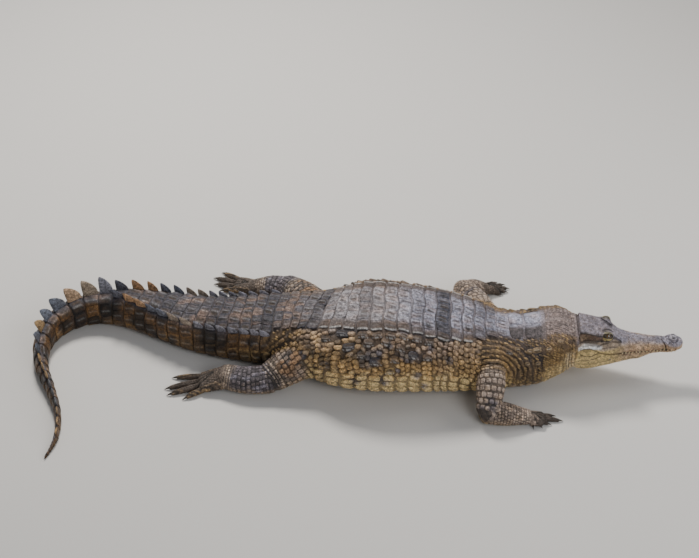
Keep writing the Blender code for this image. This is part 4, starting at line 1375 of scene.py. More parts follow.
def lay_many(name, form, laid, shade=1.0, rim=0.72, wash=None, keel_light_and_shade=0.0, edge=None):
    """One piece of many copies of a form; laid is their count and the rule that places them.

    The rule place(copy, u, v, w) gives points, bake places and middles. shade lightens each copy,
    wash is a colour and its amount, keeled plates may be given painted shade and a painted keel highlight,
    and edge is the side (1 or -1) along which a painted highlight runs.
    """
    count, place = laid
    form.verts.ensure_lookup_table()
    local = np.array([vert.co for vert in form.verts])
    corners = [[vert.index for vert in face.verts] for face in form.faces]
    form.free()
    copy = np.repeat(np.arange(count), len(local))
    u, v, w = np.tile(local, (count, 1)).T
    points, bake, middles = place(copy, u, v, w)
    mesh = bpy.data.meshes.new(name)
    loops = (np.concatenate(corners)[None] + np.arange(count)[:, None] * len(local)).ravel()
    totals = np.tile([len(face) for face in corners], count)
    mesh.vertices.add(len(points))
    mesh.loops.add(len(loops))
    mesh.polygons.add(len(totals))
    mesh.loops.foreach_set("vertex_index", loops.astype(np.int32))
    mesh.polygons.foreach_set("loop_start", np.concatenate([[0], np.cumsum(totals)[:-1]]).astype(np.int32))
    write_points(mesh, points)
    mesh.update(calc_edges=True)
    mesh.validate()
    layer = mesh.uv_layers.new(name="OFBake")
    layer.data.foreach_set("uv", bake[loops].astype(np.float32).ravel())
    colours = hide_colour(0.65 * points + 0.35 * middles)
    if wash is not None:
        colours = over(colours, np.broadcast_to(wash[0], (count, 3))[copy], wash[1][copy])
    colours *= (shade * coat_chance.normal(1, 0.12, count))[copy][:, None]
    # keeled plates: painted shade in the hollows, a painted shadow beside the keel and a painted highlight
    # on it
    if keel_light_and_shade:
        colours = paint_keel_light_and_shade(colours, keel_light_and_shade, count, copy, u, v, w)
    # a painted highlight along one side of the plate
    if edge is not None:
        colours = plates_with_edge_highlight(colours, u * edge[copy], np.abs(edge[copy]) == 1, w)
    colours = over(colours, SKIN_SHADE * 0.6, rim * rise(-w, -0.80, -0.1))
    colours /= np.maximum(1, colours.max(axis=1, keepdims=True) / 0.88)
    colour_layer(mesh, np.clip(colours, 0.004, 0.9))
    new_piece(name, mesh, scale_finish)
    print(name, count, "scales", int((totals - 2).sum()), "triangles")


def body_surface(along, arc, lift):
    """Points a lift off the body's surface, where it rests on the floor too."""
    turn = turn_of_arc(along, arc)
    lengthwise = body_point(along + 0.003, turn) - body_point(along - 0.003, turn)
    round_body = body_point(along, turn + 0.02) - body_point(along, turn - 0.02)
    placed = body_point(along, turn) + unit(np.cross(round_body, lengthwise)) * lift[:, None]
    placed[:, 2] = np.maximum(placed[:, 2], 0.0)
    return placed


def body_bake(along, arc):
    """Bake places on the body, unrolled from its ridge."""
    return np.stack([(along + 0.03) / BAKE_SPAN, 0.25 + arc / BAKE_SPAN], axis=1)


def on_body(centres, halves, height, keel, raised=0.0008, turned=0.0, flare=0.0):
    """The count and place rule of scales on the body; centres and halves are (along, arc) rows."""
    count = len(centres)
    height, keel, turned, flare = (np.broadcast_to(one, count) for one in (height, keel, turned, flare))

    def place(copy, u, v, w):
        c, s = np.cos(turned[copy]), np.sin(turned[copy])
        off_along = v * halves[copy, 0]
        off_arc = u * halves[copy, 1]
        along = centres[copy, 0] + off_along * c - off_arc * s
        arc = centres[copy, 1] + off_along * s + off_arc * c
        # no row of real scales is ruled straight
        loose = np.interp(along, [0.12, 0.16, 0.62, 0.85, 1.2], [0, 1, 1, 0.5, 0.15])
        along, arc = (along + 0.0018 * loose * np.sin(78 * arc + 14 * along),
                      arc + 0.0014 * loose * np.sin(165 * along + 30 * arc))
        hollow = -0.0007 * bell(np.abs(u) - 0.5, 0.25) * (w > 0.9) * (keel[copy] > 0.0012)
        ridge = np.clip(1 - np.abs(u) / 0.44, 0, 1) * (w > 0)
        ridge *= np.interp(v, [-0.8, -0.2, 0.6, 1], [0, 0.45, 1, 0])
        lift = -COAT_DEPTH + w * height[copy] + keel[copy] * ridge + raised * v * (w > 0) + hollow
        outward = np.clip(u * np.sign(centres[copy, 1]), 0, 1)
        lift += flare[copy] * outward ** 2 * (w > 0.3)
        middle = body_surface(*centres.T, np.zeros(count))
        return body_surface(along, arc, lift), body_bake(along, arc), middle[copy]
    return count, place


scale_finish = hide_finish("scale_horn", 0.44, 900, 0.0009, 420, 0.0004, 0.50)

# distance along, arc, half length, half width, keel, flare of the outer edge
scutes = []
armour = list(zip(ARMOUR_ROWS, ARMOUR_ROWS[1:], ARMOUR_REACH))
for start, end, (middle, reach, plates) in armour[GRAINY_ROWS:]:
    nuchal = start < SHIELD_ENDS
    for side in (1, -1):
        edges = np.linspace(0, reach, plates + 1)
        edges[1:-1] += coat_chance.normal(0, 0.0024, plates - 1)
        for column, (near, far) in enumerate(zip(edges, edges[1:])):
            slip = coat_chance.normal(0, 0.0006)
            outermost = column == plates - 1
            keel = 0.0030 if nuchal else 0.0006 if outermost else coat_chance.uniform(0.0016, 0.0036)
            scutes.append((middle + slip, side * (near + far) / 2, (end - start - ROW_GAP) / 2,
                           (far - near - COLUMN_GAP) / 2 + 0.0016 * nuchal, keel,
                           0.0024 * outermost * (start > SHIELD_ENDS)))
scutes = np.array(scutes)
shield = scutes[scutes[:, 0] < SHIELD_ENDS]
lay_many("neck_shield", plate_form(10, 10, 5.0),
         on_body(shield[:, :2], shield[:, 2:4], COAT_DEPTH, shield[:, 4]))
scutes = scutes[scutes[:, 0] >= SHIELD_ENDS]
# the back's plates carry painted keel light and shade, and the outermost ones a painted highlight along
# their outer edge
lay_many("back_armour", plate_form(8, 8, 9.0, joined=True),
         on_body(scutes[:, :2], scutes[:, 2:4], COAT_DEPTH, scutes[:, 4], flare=scutes[:, 5]), keel_light_and_shade=1.1,
         edge=np.sign(scutes[:, 1]) * (scutes[:, 5] > 0) * (np.abs(scutes[:, 0] - 0.37) < 0.16))


# ---- Rings of the tail ----
# The tail is ringed with flat horn plates, one ring to a joint of the tail. Two rows of upright
# blades grow taller down its edges, meet, and go on as one row to the tip.

# Where each run of rings starts and ends, and how many there are
RING_SPANS = [(0.640, 0.810, 7), (0.810, 0.960, 5), (0.960, 1.060, 3), (1.060, 1.170, 3), (1.170, 1.290, 4),
              (1.290, 1.510, 9), (1.510, BODY_LENGTH - 0.012, 6)]
CREST_START = 0.640
CREST_JOIN = 1.027  # the two rows of blades meet here
CREST_END = 1.510
CREST_TILT = 0.5  # how far the single row leans over
BLADE = 0.0016  # half thickness of a blade
BLADE_ROOT = 0.005  # a blade stands this deep in the tail

plates = []
blades = []
for start, end, rings in RING_SPANS:
    pitch = (end - start) / rings
    for ring in range(rings):
        middle = start + pitch * (ring + 0.5)
        half_arc = half_round(middle)
        half = float(section(middle)[2])
        share = (middle - CREST_START) / (CREST_JOIN - CREST_START)
        if share < 1:
            spacing = half * (0.84 - 0.60 * share ** 4)
            turns = np.linspace(0, pi / 2, 50)
            crest_turn = np.interp(spacing, half * np.sin(turns) ** (2 / 2.7), turns)
            crest_arc = float(arc_of_turn(np.array([middle]), np.array([crest_turn]))[0]) + 0.004
            inside = 3 if middle < 0.76 else 2 if middle < 0.90 else 1
            blades += [(middle, side, spacing, 0.004 + 0.020 * share ** 1.3, 0.84 * pitch, 0.18 * side)
                       for side in (1, -1)]
            edges = list(np.linspace(0, crest_arc, inside + 1))
        else:
            crest_arc = 0.0
            left = (CREST_END - middle) / (CREST_END - CREST_JOIN)
            if left > 0:
                tilt = CREST_TILT * min(1, max(0, (1.34 - middle) / 0.13))
                blades.append((middle, 0, 0.0, 0.034 * left ** 0.6, 0.88 * pitch, tilt))
            edges = [0.0]
        outside = 4 if middle < 1.10 else 3 if middle < 1.36 else 2
        edges += list(np.linspace(crest_arc, half_arc, outside + 1)[1:])
        for side in (1, -1):
            for near, far in zip(edges, edges[1:]):
                on_top = far <= crest_arc + 0.001
                keel = coat_chance.uniform(0.0024, 0.0044) if on_top else 0.0005
                plates.append((middle, side * (near + far) / 2, (pitch - min(0.0016, 0.08 * pitch)) / 2,
                               (far - near - COLUMN_GAP) / 2, keel))
plates = np.array(plates)
plate_height = COAT_DEPTH * np.interp(plates[:, 0], [0.64, BODY_LENGTH - 0.4, BODY_LENGTH], [1, 1, 0.4])
# the tail's plates carry painted light and shade about their keels
lay_many("tail_plates", plate_form(8, 8, 10.0, joined=True),
         on_body(plates[:, :2], plates[:, 2:4], plate_height, plates[:, 4]), keel_light_and_shade=1.3)

blades = np.array(blades)


def blade_place(copy, u, v, w):
    """Upright blades leaning back: u is the sphere's thickness, v ahead and w up before pulling."""
    middle, side, spacing, height, length, tilt = blades[copy].T
    x, y, half, top, clear, square = section(middle)
    step = heading(middle)
    left = level_left(step)
    waist = clear + WAIST * (top - clear)
    surface = waist + (top - waist) * (1 - (spacing / half) ** square) ** (1 / square)
    up = (w + 1) / 2
    chord = v / np.sqrt(np.maximum(1 - w * w, 1e-9))
    front = np.interp(up, [0, 0.30, 0.52, 0.75, 0.92, 1], [0.54, 0.52, 0.42, 0.17, -0.16, -0.44])
    rear = np.interp(up, [0, 0.5, 0.85, 1], [-0.50, -0.58, -0.61, -0.54])
    forward = (rear + (front - rear) * (np.clip(chord, -1, 1) + 1) / 2) * length
    climb = top - 0.25 * spacing ** 2 / half + height - surface + BLADE_ROOT
    thick = u * BLADE * (1.7 - 1.1 * up) * 1.25
    points = np.stack([x, y, surface - BLADE_ROOT], axis=1) + left * (side * spacing)[:, None]
    points += np.c_[step, np.zeros(len(step))] * forward[:, None]
    points += left * (thick + tilt * height * up)[:, None]
    points[:, 2] += climb * up
    bake = body_bake(middle - forward, side * spacing + np.sign(u) * (0.002 + up * height))
    return points, bake, body_point(middle, np.where(side == 0, 0.0, side * 0.8))


blade_form = bmesh.new()
bmesh.ops.create_uvsphere(blade_form, u_segments=12, v_segments=10, radius=1)
# Each blade's colour, by where its ring begins
CREST_COLOURS = [
    (0.0, (150, 148, 158)), (0.80, (176, 158, 140)), (0.87, (112, 116, 130)), (0.93, (206, 160, 116)),
    (0.995, (104, 106, 118)), (1.027, (152, 152, 162)), (1.065, (186, 166, 142)), (1.10, (198, 164, 130)),
    (1.14, (118, 124, 138)), (1.19, (184, 150, 104)), (1.24, (92, 98, 110)), (1.29, (176, 140, 88)),
    (1.36, (76, 78, 86)), (1.43, (160, 126, 80))]
blade_paint = np.array([[tint(*colour) for start, colour in CREST_COLOURS if start <= at][-1]
                        for at in blades[:, 0]])
lay_many("tail_crest", blade_form, (len(blades), blade_place), rim=0.3,
         wash=(blade_paint * 1.25, np.full(len(blades), 0.85)))


# ---- Scales of the flanks and belly ----
# The flanks carry oval horn scales of mixed sizes with soft hide between them, a few of them
# large and keeled. The belly is tiled with flat squarish plates, in step with the back's rows.

skin_tree = BVHTree.FromObject(skin, bpy.context.evaluated_depsgraph_get())


def out_in_the_open(centres):
    """Which places on the body still show, and aren't inside a limb or the head."""
    at = body_surface(centres[:, 0], centres[:, 1], np.full(len(centres), -COAT_DEPTH))
    return np.array([skin_tree.find_nearest(Vector(point))[3] < 0.0022 for point in at])


def armour_edge(along):
    """How far the armour or the inner tail plates reach from the ridge."""
    return np.interp(along, [row[0] for row in ARMOUR_REACH], [row[1] for row in ARMOUR_REACH])


def belly_edge(along):
    """Where the belly plates begin, from the ridge."""
    share = np.interp(along, [0.0, 0.14, 0.25, 0.56, 0.64], [0.66, 0.60, 0.47, 0.50, 0.60])
    return half_round(along) * share


def packed(first, last, pitch_along, pitch_arc, top, bottom):
    """Centres in staggered rows between two arcs, given at each distance along."""
    found = []
    for row, along in enumerate(np.arange(first, last, pitch_along)):
        high, low = top(along), bottom(along)
        count = int((low - high) / pitch_arc)
        if count > 0:
            arcs = high + (low - high) / count * (np.arange(count) + (0.75 if row % 2 else 0.25))
            found += [(along, side * arc) for side in (1, -1) for arc in arcs]
    return np.array(found)


# Large keeled scales among the flank's, in millimetres: distance along, arc, half length and width
LARGE_SCALES = [(479.5, 84, 10.5, 8.5), (466, 113, 11.5, 10), (430, 106, 12, 11),
                (402, 103, 11.5, 10), (331, 126, 12, 10), (415, 147, 12.5, 11.5),
                (392, 168, 11, 10), (359, 113, 11, 9.5), (504, 92, 9, 8),
                (373, 140, 11, 10), (304, 125, 11, 9), (442, 132, 10, 9),
                (120, 66, 6.5, 6), (98, 71, 6.5, 6), (79, 70, 10, 7),
                (58, 74, 7.5, 6), (105, 98, 6, 5), (74, 100, 6, 5),
                (30, 60, 8, 5), (134, 74, 7, 6)]
large = np.array([(along, side * arc, length, width) for along, arc, length, width in
                  np.array(LARGE_SCALES) / 1000 for side in (1, -1)])
large[1::2, 0] += coat_chance.normal(0, 0.004, len(LARGE_SCALES))
# and a row of them that goes along the armour's edge
skirting = [(along, side * (reach + 0.0115), 0.0112, 0.0098) for along, reach, plates in ARMOUR_REACH
            if 0.29 < along < 0.46 for side in (1, -1)]
large = np.vstack([large, skirting])
on_neck = large[:, 0] < 0.14
# large keeled scales with painted keel light and shade, and a painted highlight on their outward half
lay_many("large_flank_scales", plate_form(8, 8, 3.4),
         on_body(large[:, :2], large[:, 2:], COAT_DEPTH, np.where(on_neck, 0.0010, 0.0034)),
         wash=(tint(188, 160, 118), 0.66 * on_neck), keel_light_and_shade=1.6,
         edge=1.84 * np.sign(large[:, 1]) * ~on_neck)


def clear_of_large(centres, margin):
    """Which centres lie outside every large scale."""
    gap = np.full(len(centres), 9.0)
    for along, arc, length, width in large:
        far = np.maximum(np.abs(centres[:, 0] - along) / (length + margin),
                         np.abs(centres[:, 1] - arc) / (width + margin))
        gap = np.minimum(gap, far)
    return gap > 1


found = packed(0.200, 0.585, 0.0114, 0.0106, lambda at: armour_edge(at) + 0.002, belly_edge)
found += coat_chance.normal(0, 0.06, found.shape) * 0.012
found = found[clear_of_large(found, 0.0010)]
found = found[out_in_the_open(found)]
count = len(found)
spread = coat_chance.uniform(0.86, 1.10, (count, 1))
halves = np.array([[0.0078, 0.0072]]) * spread * coat_chance.uniform(0.92, 1.08, (count, 2))
lay_many("flank_scales", plate_form(4, 4, 2.8),
         on_body(found, halves, COAT_DEPTH * spread[:, 0], 0.0008 * spread[:, 0],
                 turned=coat_chance.normal(0, 0.12, count)),
         coat_chance.normal(2.45, 0.35, count), 0.5,
         wash=(tint(96, 82, 62), coat_chance.uniform(0.15, 0.6, count)))

BELLY_PLATE = 0.0185
BELLY_GAP = 0.0008
belly = []
for start, end in zip(ARMOUR_ROWS, ARMOUR_ROWS[1:]):
    middle = (start + end) / 2
    rows = 1 if end - start < 0.03 else 2
    high, low = float(belly_edge(middle)), float(half_round(middle))
    count = max(3, round((low - high) / BELLY_PLATE))
    long, wide = (end - start) / rows, (low - high) / count
    belly += [(start + long * (row + 0.5), side * (high + wide * (column + 0.5)),
               (long - BELLY_GAP) / 2, (wide - BELLY_GAP) / 2)
              for row in range(rows) for column in range(count) for side in (1, -1)]
belly = np.array(belly)
belly = belly[out_in_the_open(belly[:, :2])]
lay_many("belly_plates", plate_form(4, 4, 5.0),
         on_body(belly[:, :2], belly[:, 2:], COAT_DEPTH, 0.0, raised=0.0003), shade=3.5, rim=0.30)


# ---- Eyes ----
# Glass eyes set behind the lids: dark golden-brown, with a narrow upright pupil and a wet cornea.

EYE_RADIUS = 8.8  # millimetres


def two_tone(tree, value, *stops):
    """A run between two colours, each at its place."""
    made = node(tree, "ValToRGB", {"Fac": value})
    for element, (place, colour) in zip(made.color_ramp.elements, stops):
        element.color = (*colour, 1)
        element.position = place
    return made.outputs["Color"]


eye_finish, eye_tree, eye_shader = blank_finish("eye_glass")


def eye_math(operation, first, second=0.0, clamp=False):
    made = node(eye_tree, "Math", {0: first, 1: second}, operation=operation, use_clamp=clamp)
    return made.outputs["Value"]


face_of_eye = node(eye_tree, "UVMap", uv_map="face").outputs["UV"]
split = node(eye_tree, "SeparateXYZ", {"Vector": face_of_eye})
ahead, upward = (eye_math("MULTIPLY", eye_math("SUBTRACT", split.outputs[axis], 0.5), 2.0) for axis in "XY")
outward = eye_math("SQRT", eye_math("ADD", eye_math("MULTIPLY", ahead, ahead),
                                    eye_math("MULTIPLY", upward, upward)))
iris = two_tone(eye_tree, outward, (0.18, tint(104, 74, 32)), (0.72, tint(20, 15, 11)))
streaks = node(eye_tree, "TexNoise", {"Vector": face_of_eye, "Scale": 22}).outputs["Fac"]
streaks = eye_math("ADD", eye_math("MULTIPLY", streaks, 1.2), 0.4)
iris = node(eye_tree, "VectorMath", {0: iris, "Scale": streaks}, operation="SCALE").outputs["Vector"]
PUPIL_WIDE = 0.13
PUPIL_TALL = 0.52
slit = eye_math("ADD", eye_math("DIVIDE", eye_math("ABSOLUTE", ahead), PUPIL_WIDE),
                eye_math("POWER", eye_math("DIVIDE", eye_math("ABSOLUTE", upward), PUPIL_TALL), 2.0))
pupil = eye_math("MULTIPLY", eye_math("SUBTRACT", 1.15, slit), 6.0, clamp=True)
mixed = node(eye_tree, "Mix", {"Factor": pupil, "A": iris, "B": (0.004, 0.004, 0.004, 1)}, data_type="RGBA")
feed(eye_shader, {"Base Color": mixed.outputs["Result"], "Roughness": 0.06, "Coat Weight": 1.0,
                  "Coat Roughness": 0.02})

for side, name in ((1, "left"), (-1, "right")):
    work = bmesh.new()
    bmesh.ops.create_uvsphere(work, u_segments=48, v_segments=32, radius=1)
    turned = np.array([vert.co for vert in work.verts])
    around = turned[:, :1] * EYE_AHEAD + turned[:, 1:2] * EYE_UP + turned[:, 2:] * EYE_AXIS
    put_in_place(work, beside_eye(around * EYE_RADIUS, side))
    eye_mesh = poured(work, "eyeball_" + name)
    eyeball = new_piece("eyeball_" + name, eye_mesh, eye_finish)
    loop_points = np.array([loop.vertex_index for loop in eye_mesh.loops])
    facing = eye_mesh.uv_layers.new(name="face")
    facing.data.foreach_set("uv", (0.5 + 0.5 * turned[loop_points, :2]).astype(np.float32).ravel())
    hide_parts("eye_" + name)


# ---- Teeth and claws ----
# Ivory-coloured teeth show along both lips, upper ones pointing down and lower ones up between
# them, with the long fourth tooth in its notch. Each toe ends in a dark, slightly hooked claw.

def horn_finish(name, root, tip, streak):
    """Plain horn or ivory, streaked lengthwise by fine noise."""
    made, tree, shader = blank_finish(name)
    place = node(tree, "TexCoord").outputs["Object"]
    noise = node(tree, "TexNoise", {"Vector": place, "Scale": streak, "Detail": 4}).outputs["Fac"]
    bump = node(tree, "Bump", {"Height": noise, "Distance": 0.0003})
    feed(shader, {"Base Color": two_tone(tree, noise, (0.35, root), (0.65, tip)),
                  "Normal": bump.outputs["Normal"], "Roughness": 0.42})
    return made


def hooked(name, finish, hook, points):
    """One piece of tapering points, each a root, a tip and a radius, bent sideways by the hook."""
    hook = Vector(hook)
    works = []
    for root, tip, radius in points:
        root, tip = Vector(root), Vector(tip)
        ahead = (tip - root).normalized()
        across = ahead.orthogonal().normalized()
        over = ahead.cross(across)
        one = bmesh.new()
        bmesh.ops.create_uvsphere(one, u_segments=10, v_segments=9, radius=1)
        for vert in one.verts:
            share = (vert.co.z + 1) / 2
            wide = np.sqrt(max(1 - vert.co.z ** 2, 1e-9))
            thin = radius * (1 - share) ** 0.75 * min(1, 6 * share + 0.4)
            side = Vector((vert.co.x, vert.co.y)) / wide * thin if wide > 0.01 else Vector((0, 0))
            middle = root.lerp(tip, share) + across * side.x + over * side.y
            vert.co = middle + hook * (4 * share * (1 - share))
        bmesh.ops.recalc_face_normals(one, faces=one.faces)
        works.append(one)
    new_piece(name, poured(gathered(works), name), finish)


LIP = [row[:3] for row in UPPER]  # along, out, up
TOOTH_LENGTHS = (1.25, 0.8, 0.9, 0.7, 1.1)
NOTCH = (180, 191)  # no small teeth where the snout is drawn in
teeth = []
tooth_chance = np.random.default_rng(5)
for side in (1, -1):
    for index in range(16):
        u = FIRST_TOOTH + TOOTH_PITCH * index
        if NOTCH[0] < u < NOTCH[1]:
            continue
        downward = index % 2 == 0
        lip_out, lip_up = station_values(LIP, np.array([u]))[0]
        long = tooth_chance.uniform(0.8, 1.25) * TOOTH_LENGTHS[index % 5]
        start = 2.6 if downward else -3.0
        end = -3.6 * long if downward else 2.6 * long
        teeth.append((head_point(u, side * (lip_out - 1.4), lip_up + start) + SHIFT,
                      head_point(u + 0.3, side * (lip_out + 0.7), lip_up + end) + SHIFT,
                      0.0015 * (0.75 + 0.4 * long)))
    # the long fourth tooth of the lower jaw
    teeth.append((head_point(185, side * 14.0, -9) + SHIFT,
                  head_point(186.6, side * 16.6, 2.6) + SHIFT, 0.0018))
hooked("teeth", horn_finish("ivory", tint(190, 168, 116), tint(226, 212, 170), 260), (0, 0, 0), teeth)

claws = []
for limb, digits in DIGITS.items():
    stout = stoutness(limb)
    for root, tip in digits:
        toe, end = digit_line(root, tip, stout)
        nail = np.array(toe[-1][:3])
        step = (end - nail) / norm(end - nail)
        claws.append((nail - step * 0.003 + SHIFT, end + SHIFT, 0.0036 * stout))
hooked("claws", horn_finish("claw_horn", tint(36, 31, 29), tint(66, 57, 50), 420), (0, 0, 0.0014), claws)


# ---- Scales of the neck, limbs and head ----
# Where the hide folds and moves its scales are small and lie on the hide itself: rows of grains down
# the neck and shoulders, rings of plates round the limbs, bars across the toes, mosaic on the jaws.

def on_skin(centres, aheads, halves, height, bake_places, keel=0.0):
    """The count and place rule of scales pressed onto the hide wherever it lies."""
    seats = [skin_tree.find_nearest(Vector(centre)) for centre in centres]
    at = np.array([seat[0] for seat in seats])
    outs = np.array([seat[1] for seat in seats])
    aheads = unit(aheads - (aheads * outs).sum(axis=1)[:, None] * outs)
    across = np.cross(outs, aheads)

    def place(copy, u, v, w):
        off_ahead, off_across = v * halves[copy, 0], u * halves[copy, 1]
        flat = at[copy] + across[copy] * off_across[:, None] + aheads[copy] * off_ahead[:, None]
        on = np.array([skin_tree.find_nearest(Vector(point))[0] for point in flat])
        ridge = np.clip(1 - np.abs(u) / 0.5, 0, 1) * keel * (w > 0)
        placed = on + outs[copy] * ((w + ridge) * height[copy])[:, None]
        placed[:, 2] = np.maximum(placed[:, 2], 0.0)
        return placed, bake_places[copy] + np.stack([off_ahead, off_across], axis=1) / BAKE_SPAN, at[copy]
    return len(centres), place


GRAINS = [
    # first and last distance along, pitch along and round, half length and width, height, slant
    (-0.010, 0.137, 0.0082, 0.0052, 0.0056, 0.0023, 0.0013, 0.9),
    (0.137, 0.200, 0.0090, 0.0062, 0.0060, 0.0028, 0.0014, 0.8),
    (0.585, 0.640, 0.0080, 0.0062, 0.0052, 0.0030, 0.0014, 0.6),
]
for number, (first, last, pitch_along, pitch_arc, length, width, tall, slant) in enumerate(GRAINS):
    # ahead of the nuchal shield they cover the ridge too
    found = packed(first, last, pitch_along, pitch_arc,
                   lambda at: armour_edge(at) * (0.06 + 0.94 * (at > ARMOUR_ROWS[GRAINY_ROWS])) + 0.002,
                   lambda at: half_round(at) * 0.97)
    found += coat_chance.normal(0, 0.0005, found.shape)
    found = found[clear_of_large(found, 0.0022)]
    at = body_surface(found[:, 0], found[:, 1], np.full(len(found), -0.002))
    seated = np.array([skin_tree.find_nearest(Vector(point), 0.0045)[0] is not None for point in at])
    found, at = found[seated], at[seated]
    on_ridge = np.ones(len(at), bool)
    for limb in LIMBS:
        down, round_limb, share = limb_place(at, limb)
        fold, folded = root_folds(at, limb, down, share)
        on_ridge &= (fold > 0) | (folded < 0.3)
    from_jaw = from_path(mirrored(head_place(at)), JAW_BACK)
    on_ridge &= (from_jaw > 26) | (np.cos(2 * pi * from_jaw / NECK_FOLD) > 0.2)
    found, at = found[on_ridge], at[on_ridge]
    along, arc = found.T
    count = len(found)
    step = -np.c_[heading(along), np.zeros(count)]
    uphill = unit(body_surface(along, arc - np.sign(arc) * 0.002, np.zeros(count)) - at)
    spread = coat_chance.uniform(0.75, 1.12, (count, 1))
    lay_many(f"grains_{number + 1}", grain_form(7, 4),
             on_skin(at, step + uphill * slant, np.array([[length, width]]) * spread, tall * spread[:, 0],
                     body_bake(along, arc)),
             coat_chance.normal(1.2, 0.2, count), 0.5,
             wash=(tint(178, 146, 94),
                   0.75 * coat_chance.uniform(0, 1, count) * (np.abs(arc) > armour_edge(along))))

# Rings of plates round each limb: shares of its length, pitches along it and widths round it.
PLATE_SIZES = {
    "fore": ([0, 0.16, 0.22, 0.44, 0.56, 1], [0.0052, 0.0060, 0.0125, 0.0125, 0.0066, 0.0048],
             [0.0085, 0.0095, 0.0130, 0.0125, 0.0075, 0.0050]),
    "hind": ([0, 0.20, 0.38, 0.48, 0.60, 0.76, 1], [0.0085, 0.0130, 0.0115, 0.0056, 0.0095, 0.0075, 0.0050],
             [0.0105, 0.0125, 0.0115, 0.0090, 0.0110, 0.0085, 0.0055]),
}
BAKE_ROOM = 0.22  # each limb's share of the bake picture
for number, limb in enumerate(LIMBS):
    rows = limb_line(limb)
    down = run_down(rows[:, :3])
    line = smooth_rows(rows[::6], 6)
    ahead = unit(np.gradient(line[:, :3], axis=0))
    knots, pitches, widths = PLATE_SIZES["hind" if "hind" in limb else "fore"]
    plates = []
    at = 0.016
    ring = 0
    while at < down[-1] - 0.004:
        share = at / down[-1]
        pitch, wide = np.interp(share, knots, pitches), np.interp(share, knots, widths)
        middle = columns_at(at, down, rows)
        forward = columns_at(at, down, ahead)
        across = np.cross([0, 0, 1.0], forward)
        across /= norm(across)
        over_limb = np.cross(forward, across)
        radius = middle[3:].mean()
        count = max(5, int(2 * pi * radius / wide))
        for index in range(count):
            round_limb = 2 * pi * (index + 0.5 * (ring % 2)) / count - pi
            outward = across * sin(round_limb) + over_limb * cos(round_limb)
            start = middle[:3] + outward * radius * 2.2
            hit = skin_tree.ray_cast(Vector(start), Vector(-outward), radius * 2.2)
            if hit[0] is None or hit[1].dot(Vector(outward)) < 0.35 or hit[0].z < 0.0012:
                continue
            if (np.array(hit[0]) - middle[:3]) @ outward > radius * 1.45:
                continue
            bake = 0.03 + BAKE_ROOM * number + at / BAKE_SPAN, 0.55 + round_limb * radius / BAKE_SPAN
            plates.append((hit[0], forward, (0.47 * pitch, 0.46 * wide), bake))
        at += pitch
        ring += 1
    centres, steps, sizes, bakes = map(np.array, zip(*plates))
    spread = coat_chance.uniform(0.9, 1.06, (len(centres), 1))
    lay_many(f"{limb}_scales", plate_form(6, 6, 5.0),
             on_skin(centres, steps, sizes * spread, sizes[:, 0] * 0.10 + 0.0005, bakes, 0.25),
             coat_chance.normal(1.32 if "hind" in limb else 1.50, 0.12, len(centres)), 0.8)

# Bars across the top of every toe.
TOE_BAR = 0.0052
bars = []
for number, (limb, digits) in enumerate(DIGITS.items()):
    stout = stoutness(limb)
    for toe_number, (root, tip) in enumerate(digits):
        toe, end = digit_line(root, tip, stout)
        start, finish = np.array(toe[0][:3]) + SHIFT, np.array(toe[-1][:3]) + SHIFT
        length = norm(finish - start)
        forward = (finish - start) / length
        count = int(length / (TOE_BAR * stout))
        for bar in range(1, count + 1):
            at = start + forward * length * bar / (count + 0.5)
            hit = skin_tree.ray_cast(Vector(at + [0, 0, 0.03]), Vector((0, 0, -1)), 0.05)
            if hit[0] is not None:
                wide = 0.0050 * stout * (1 - 0.35 * bar / count)
                bars.append((hit[0], forward, (0.0024 * stout, wide),
                             (0.03 + BAKE_ROOM * number + 0.035 * toe_number, 0.68 + 0.0045 * bar)))
centres, steps, sizes, bakes = map(np.array, zip(*bars))
lay_many("toe_scales", plate_form(4, 4, 4.0),
         on_skin(centres, steps, sizes, np.full(len(centres), 0.0008), bakes), rim=0.5)

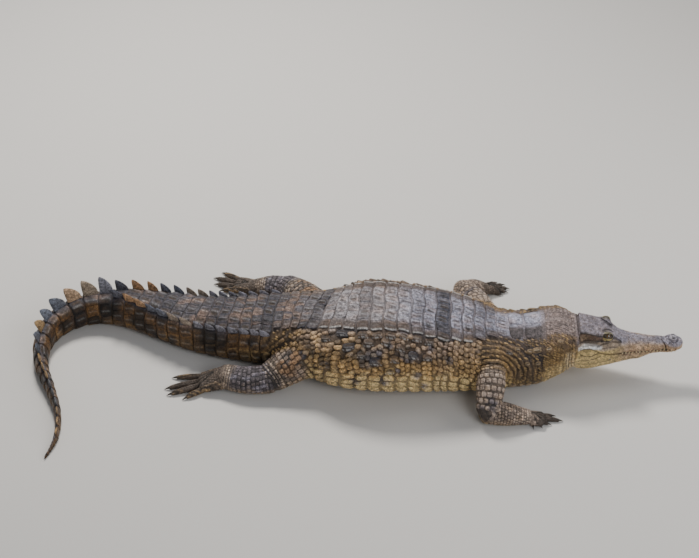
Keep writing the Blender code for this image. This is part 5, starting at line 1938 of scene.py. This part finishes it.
# Small low mosaic scales over the skull, snout and jaws, clear of the lips, lids, creases and nostrils.
HEAD_PITCH = 0.0036
ahead = np.array([cos(HEAD_TURN), sin(HEAD_TURN), 0.0])
left = np.array([-sin(HEAD_TURN), cos(HEAD_TURN), 0.0])
upward = np.array([0, 0, 1.0])
mosaic = []
at = 1.0
ring = 0
while at < 211:
    lip_out, lip_up = station_values(LIP, np.array([at]))[0]
    axis = head_point(at, 0.0, lip_up + 4 * (at > 60)) + SHIFT
    count = int(pi * (max(lip_out, 12) + 22) / 1000 / HEAD_PITCH)
    for index in range(count):
        angle = 2 * pi * (index + 0.5 * (ring % 2)) / count + coat_chance.normal(0, 0.012)
        outward = left * sin(angle) + upward * cos(angle)
        start = axis + outward * 0.09 + ahead * coat_chance.normal(0, 0.0004)
        hit = skin_tree.ray_cast(Vector(start), Vector(-outward), 0.09)
        if hit[0] is None or hit[1].dot(Vector(outward)) < 0.25 or hit[0].z < 0.001:
            continue
        mosaic.append((hit[0], ahead, (0.47 * HEAD_PITCH, 0.47 * HEAD_PITCH),
                       (0.60 + at / BAKE_SPAN / 1000, 0.82 + angle * 0.02)))
    at += HEAD_PITCH * 1000 * 0.94
    ring += 1
centres, steps, sizes, bakes = map(np.array, zip(*mosaic))
h = mirrored(head_place(centres))
room = np.abs(h[:, 2] - mouth_at(h))
room[(h[:, 1] < 8) & (h[:, 0] < 200)] = 9
for path, depth, width in HEAD_CREASES:
    from_crease = from_path(h * SIDE_ON, np.array(path) * SIDE_ON)
    room = np.minimum(room, from_crease + (0.0 if depth > 0.65 else 0.6))
room = np.minimum(room, norm(h - np.array(EYE_PLACE), axis=1) - 12.0)
room = np.minimum(room, 1.4 + 9 * np.hypot((h[:, 0] - 203) / 9, h[:, 1] / 12) - 6 + 9 * (h[:, 2] < 10))
keep = room > 2.1
centres, steps, sizes, bakes = centres[keep], steps[keep], sizes[keep], bakes[keep]
spread = coat_chance.uniform(0.72, 1.08, (len(centres), 1))
lay_many("head_scales", grain_form(6, 4),
         on_skin(centres, steps, sizes * spread, 0.00055 * spread[:, 0], bakes),
         coat_chance.normal(1.06, 0.10 - 0.06 * (h[keep, 2] < 8), len(centres)), 0.32)
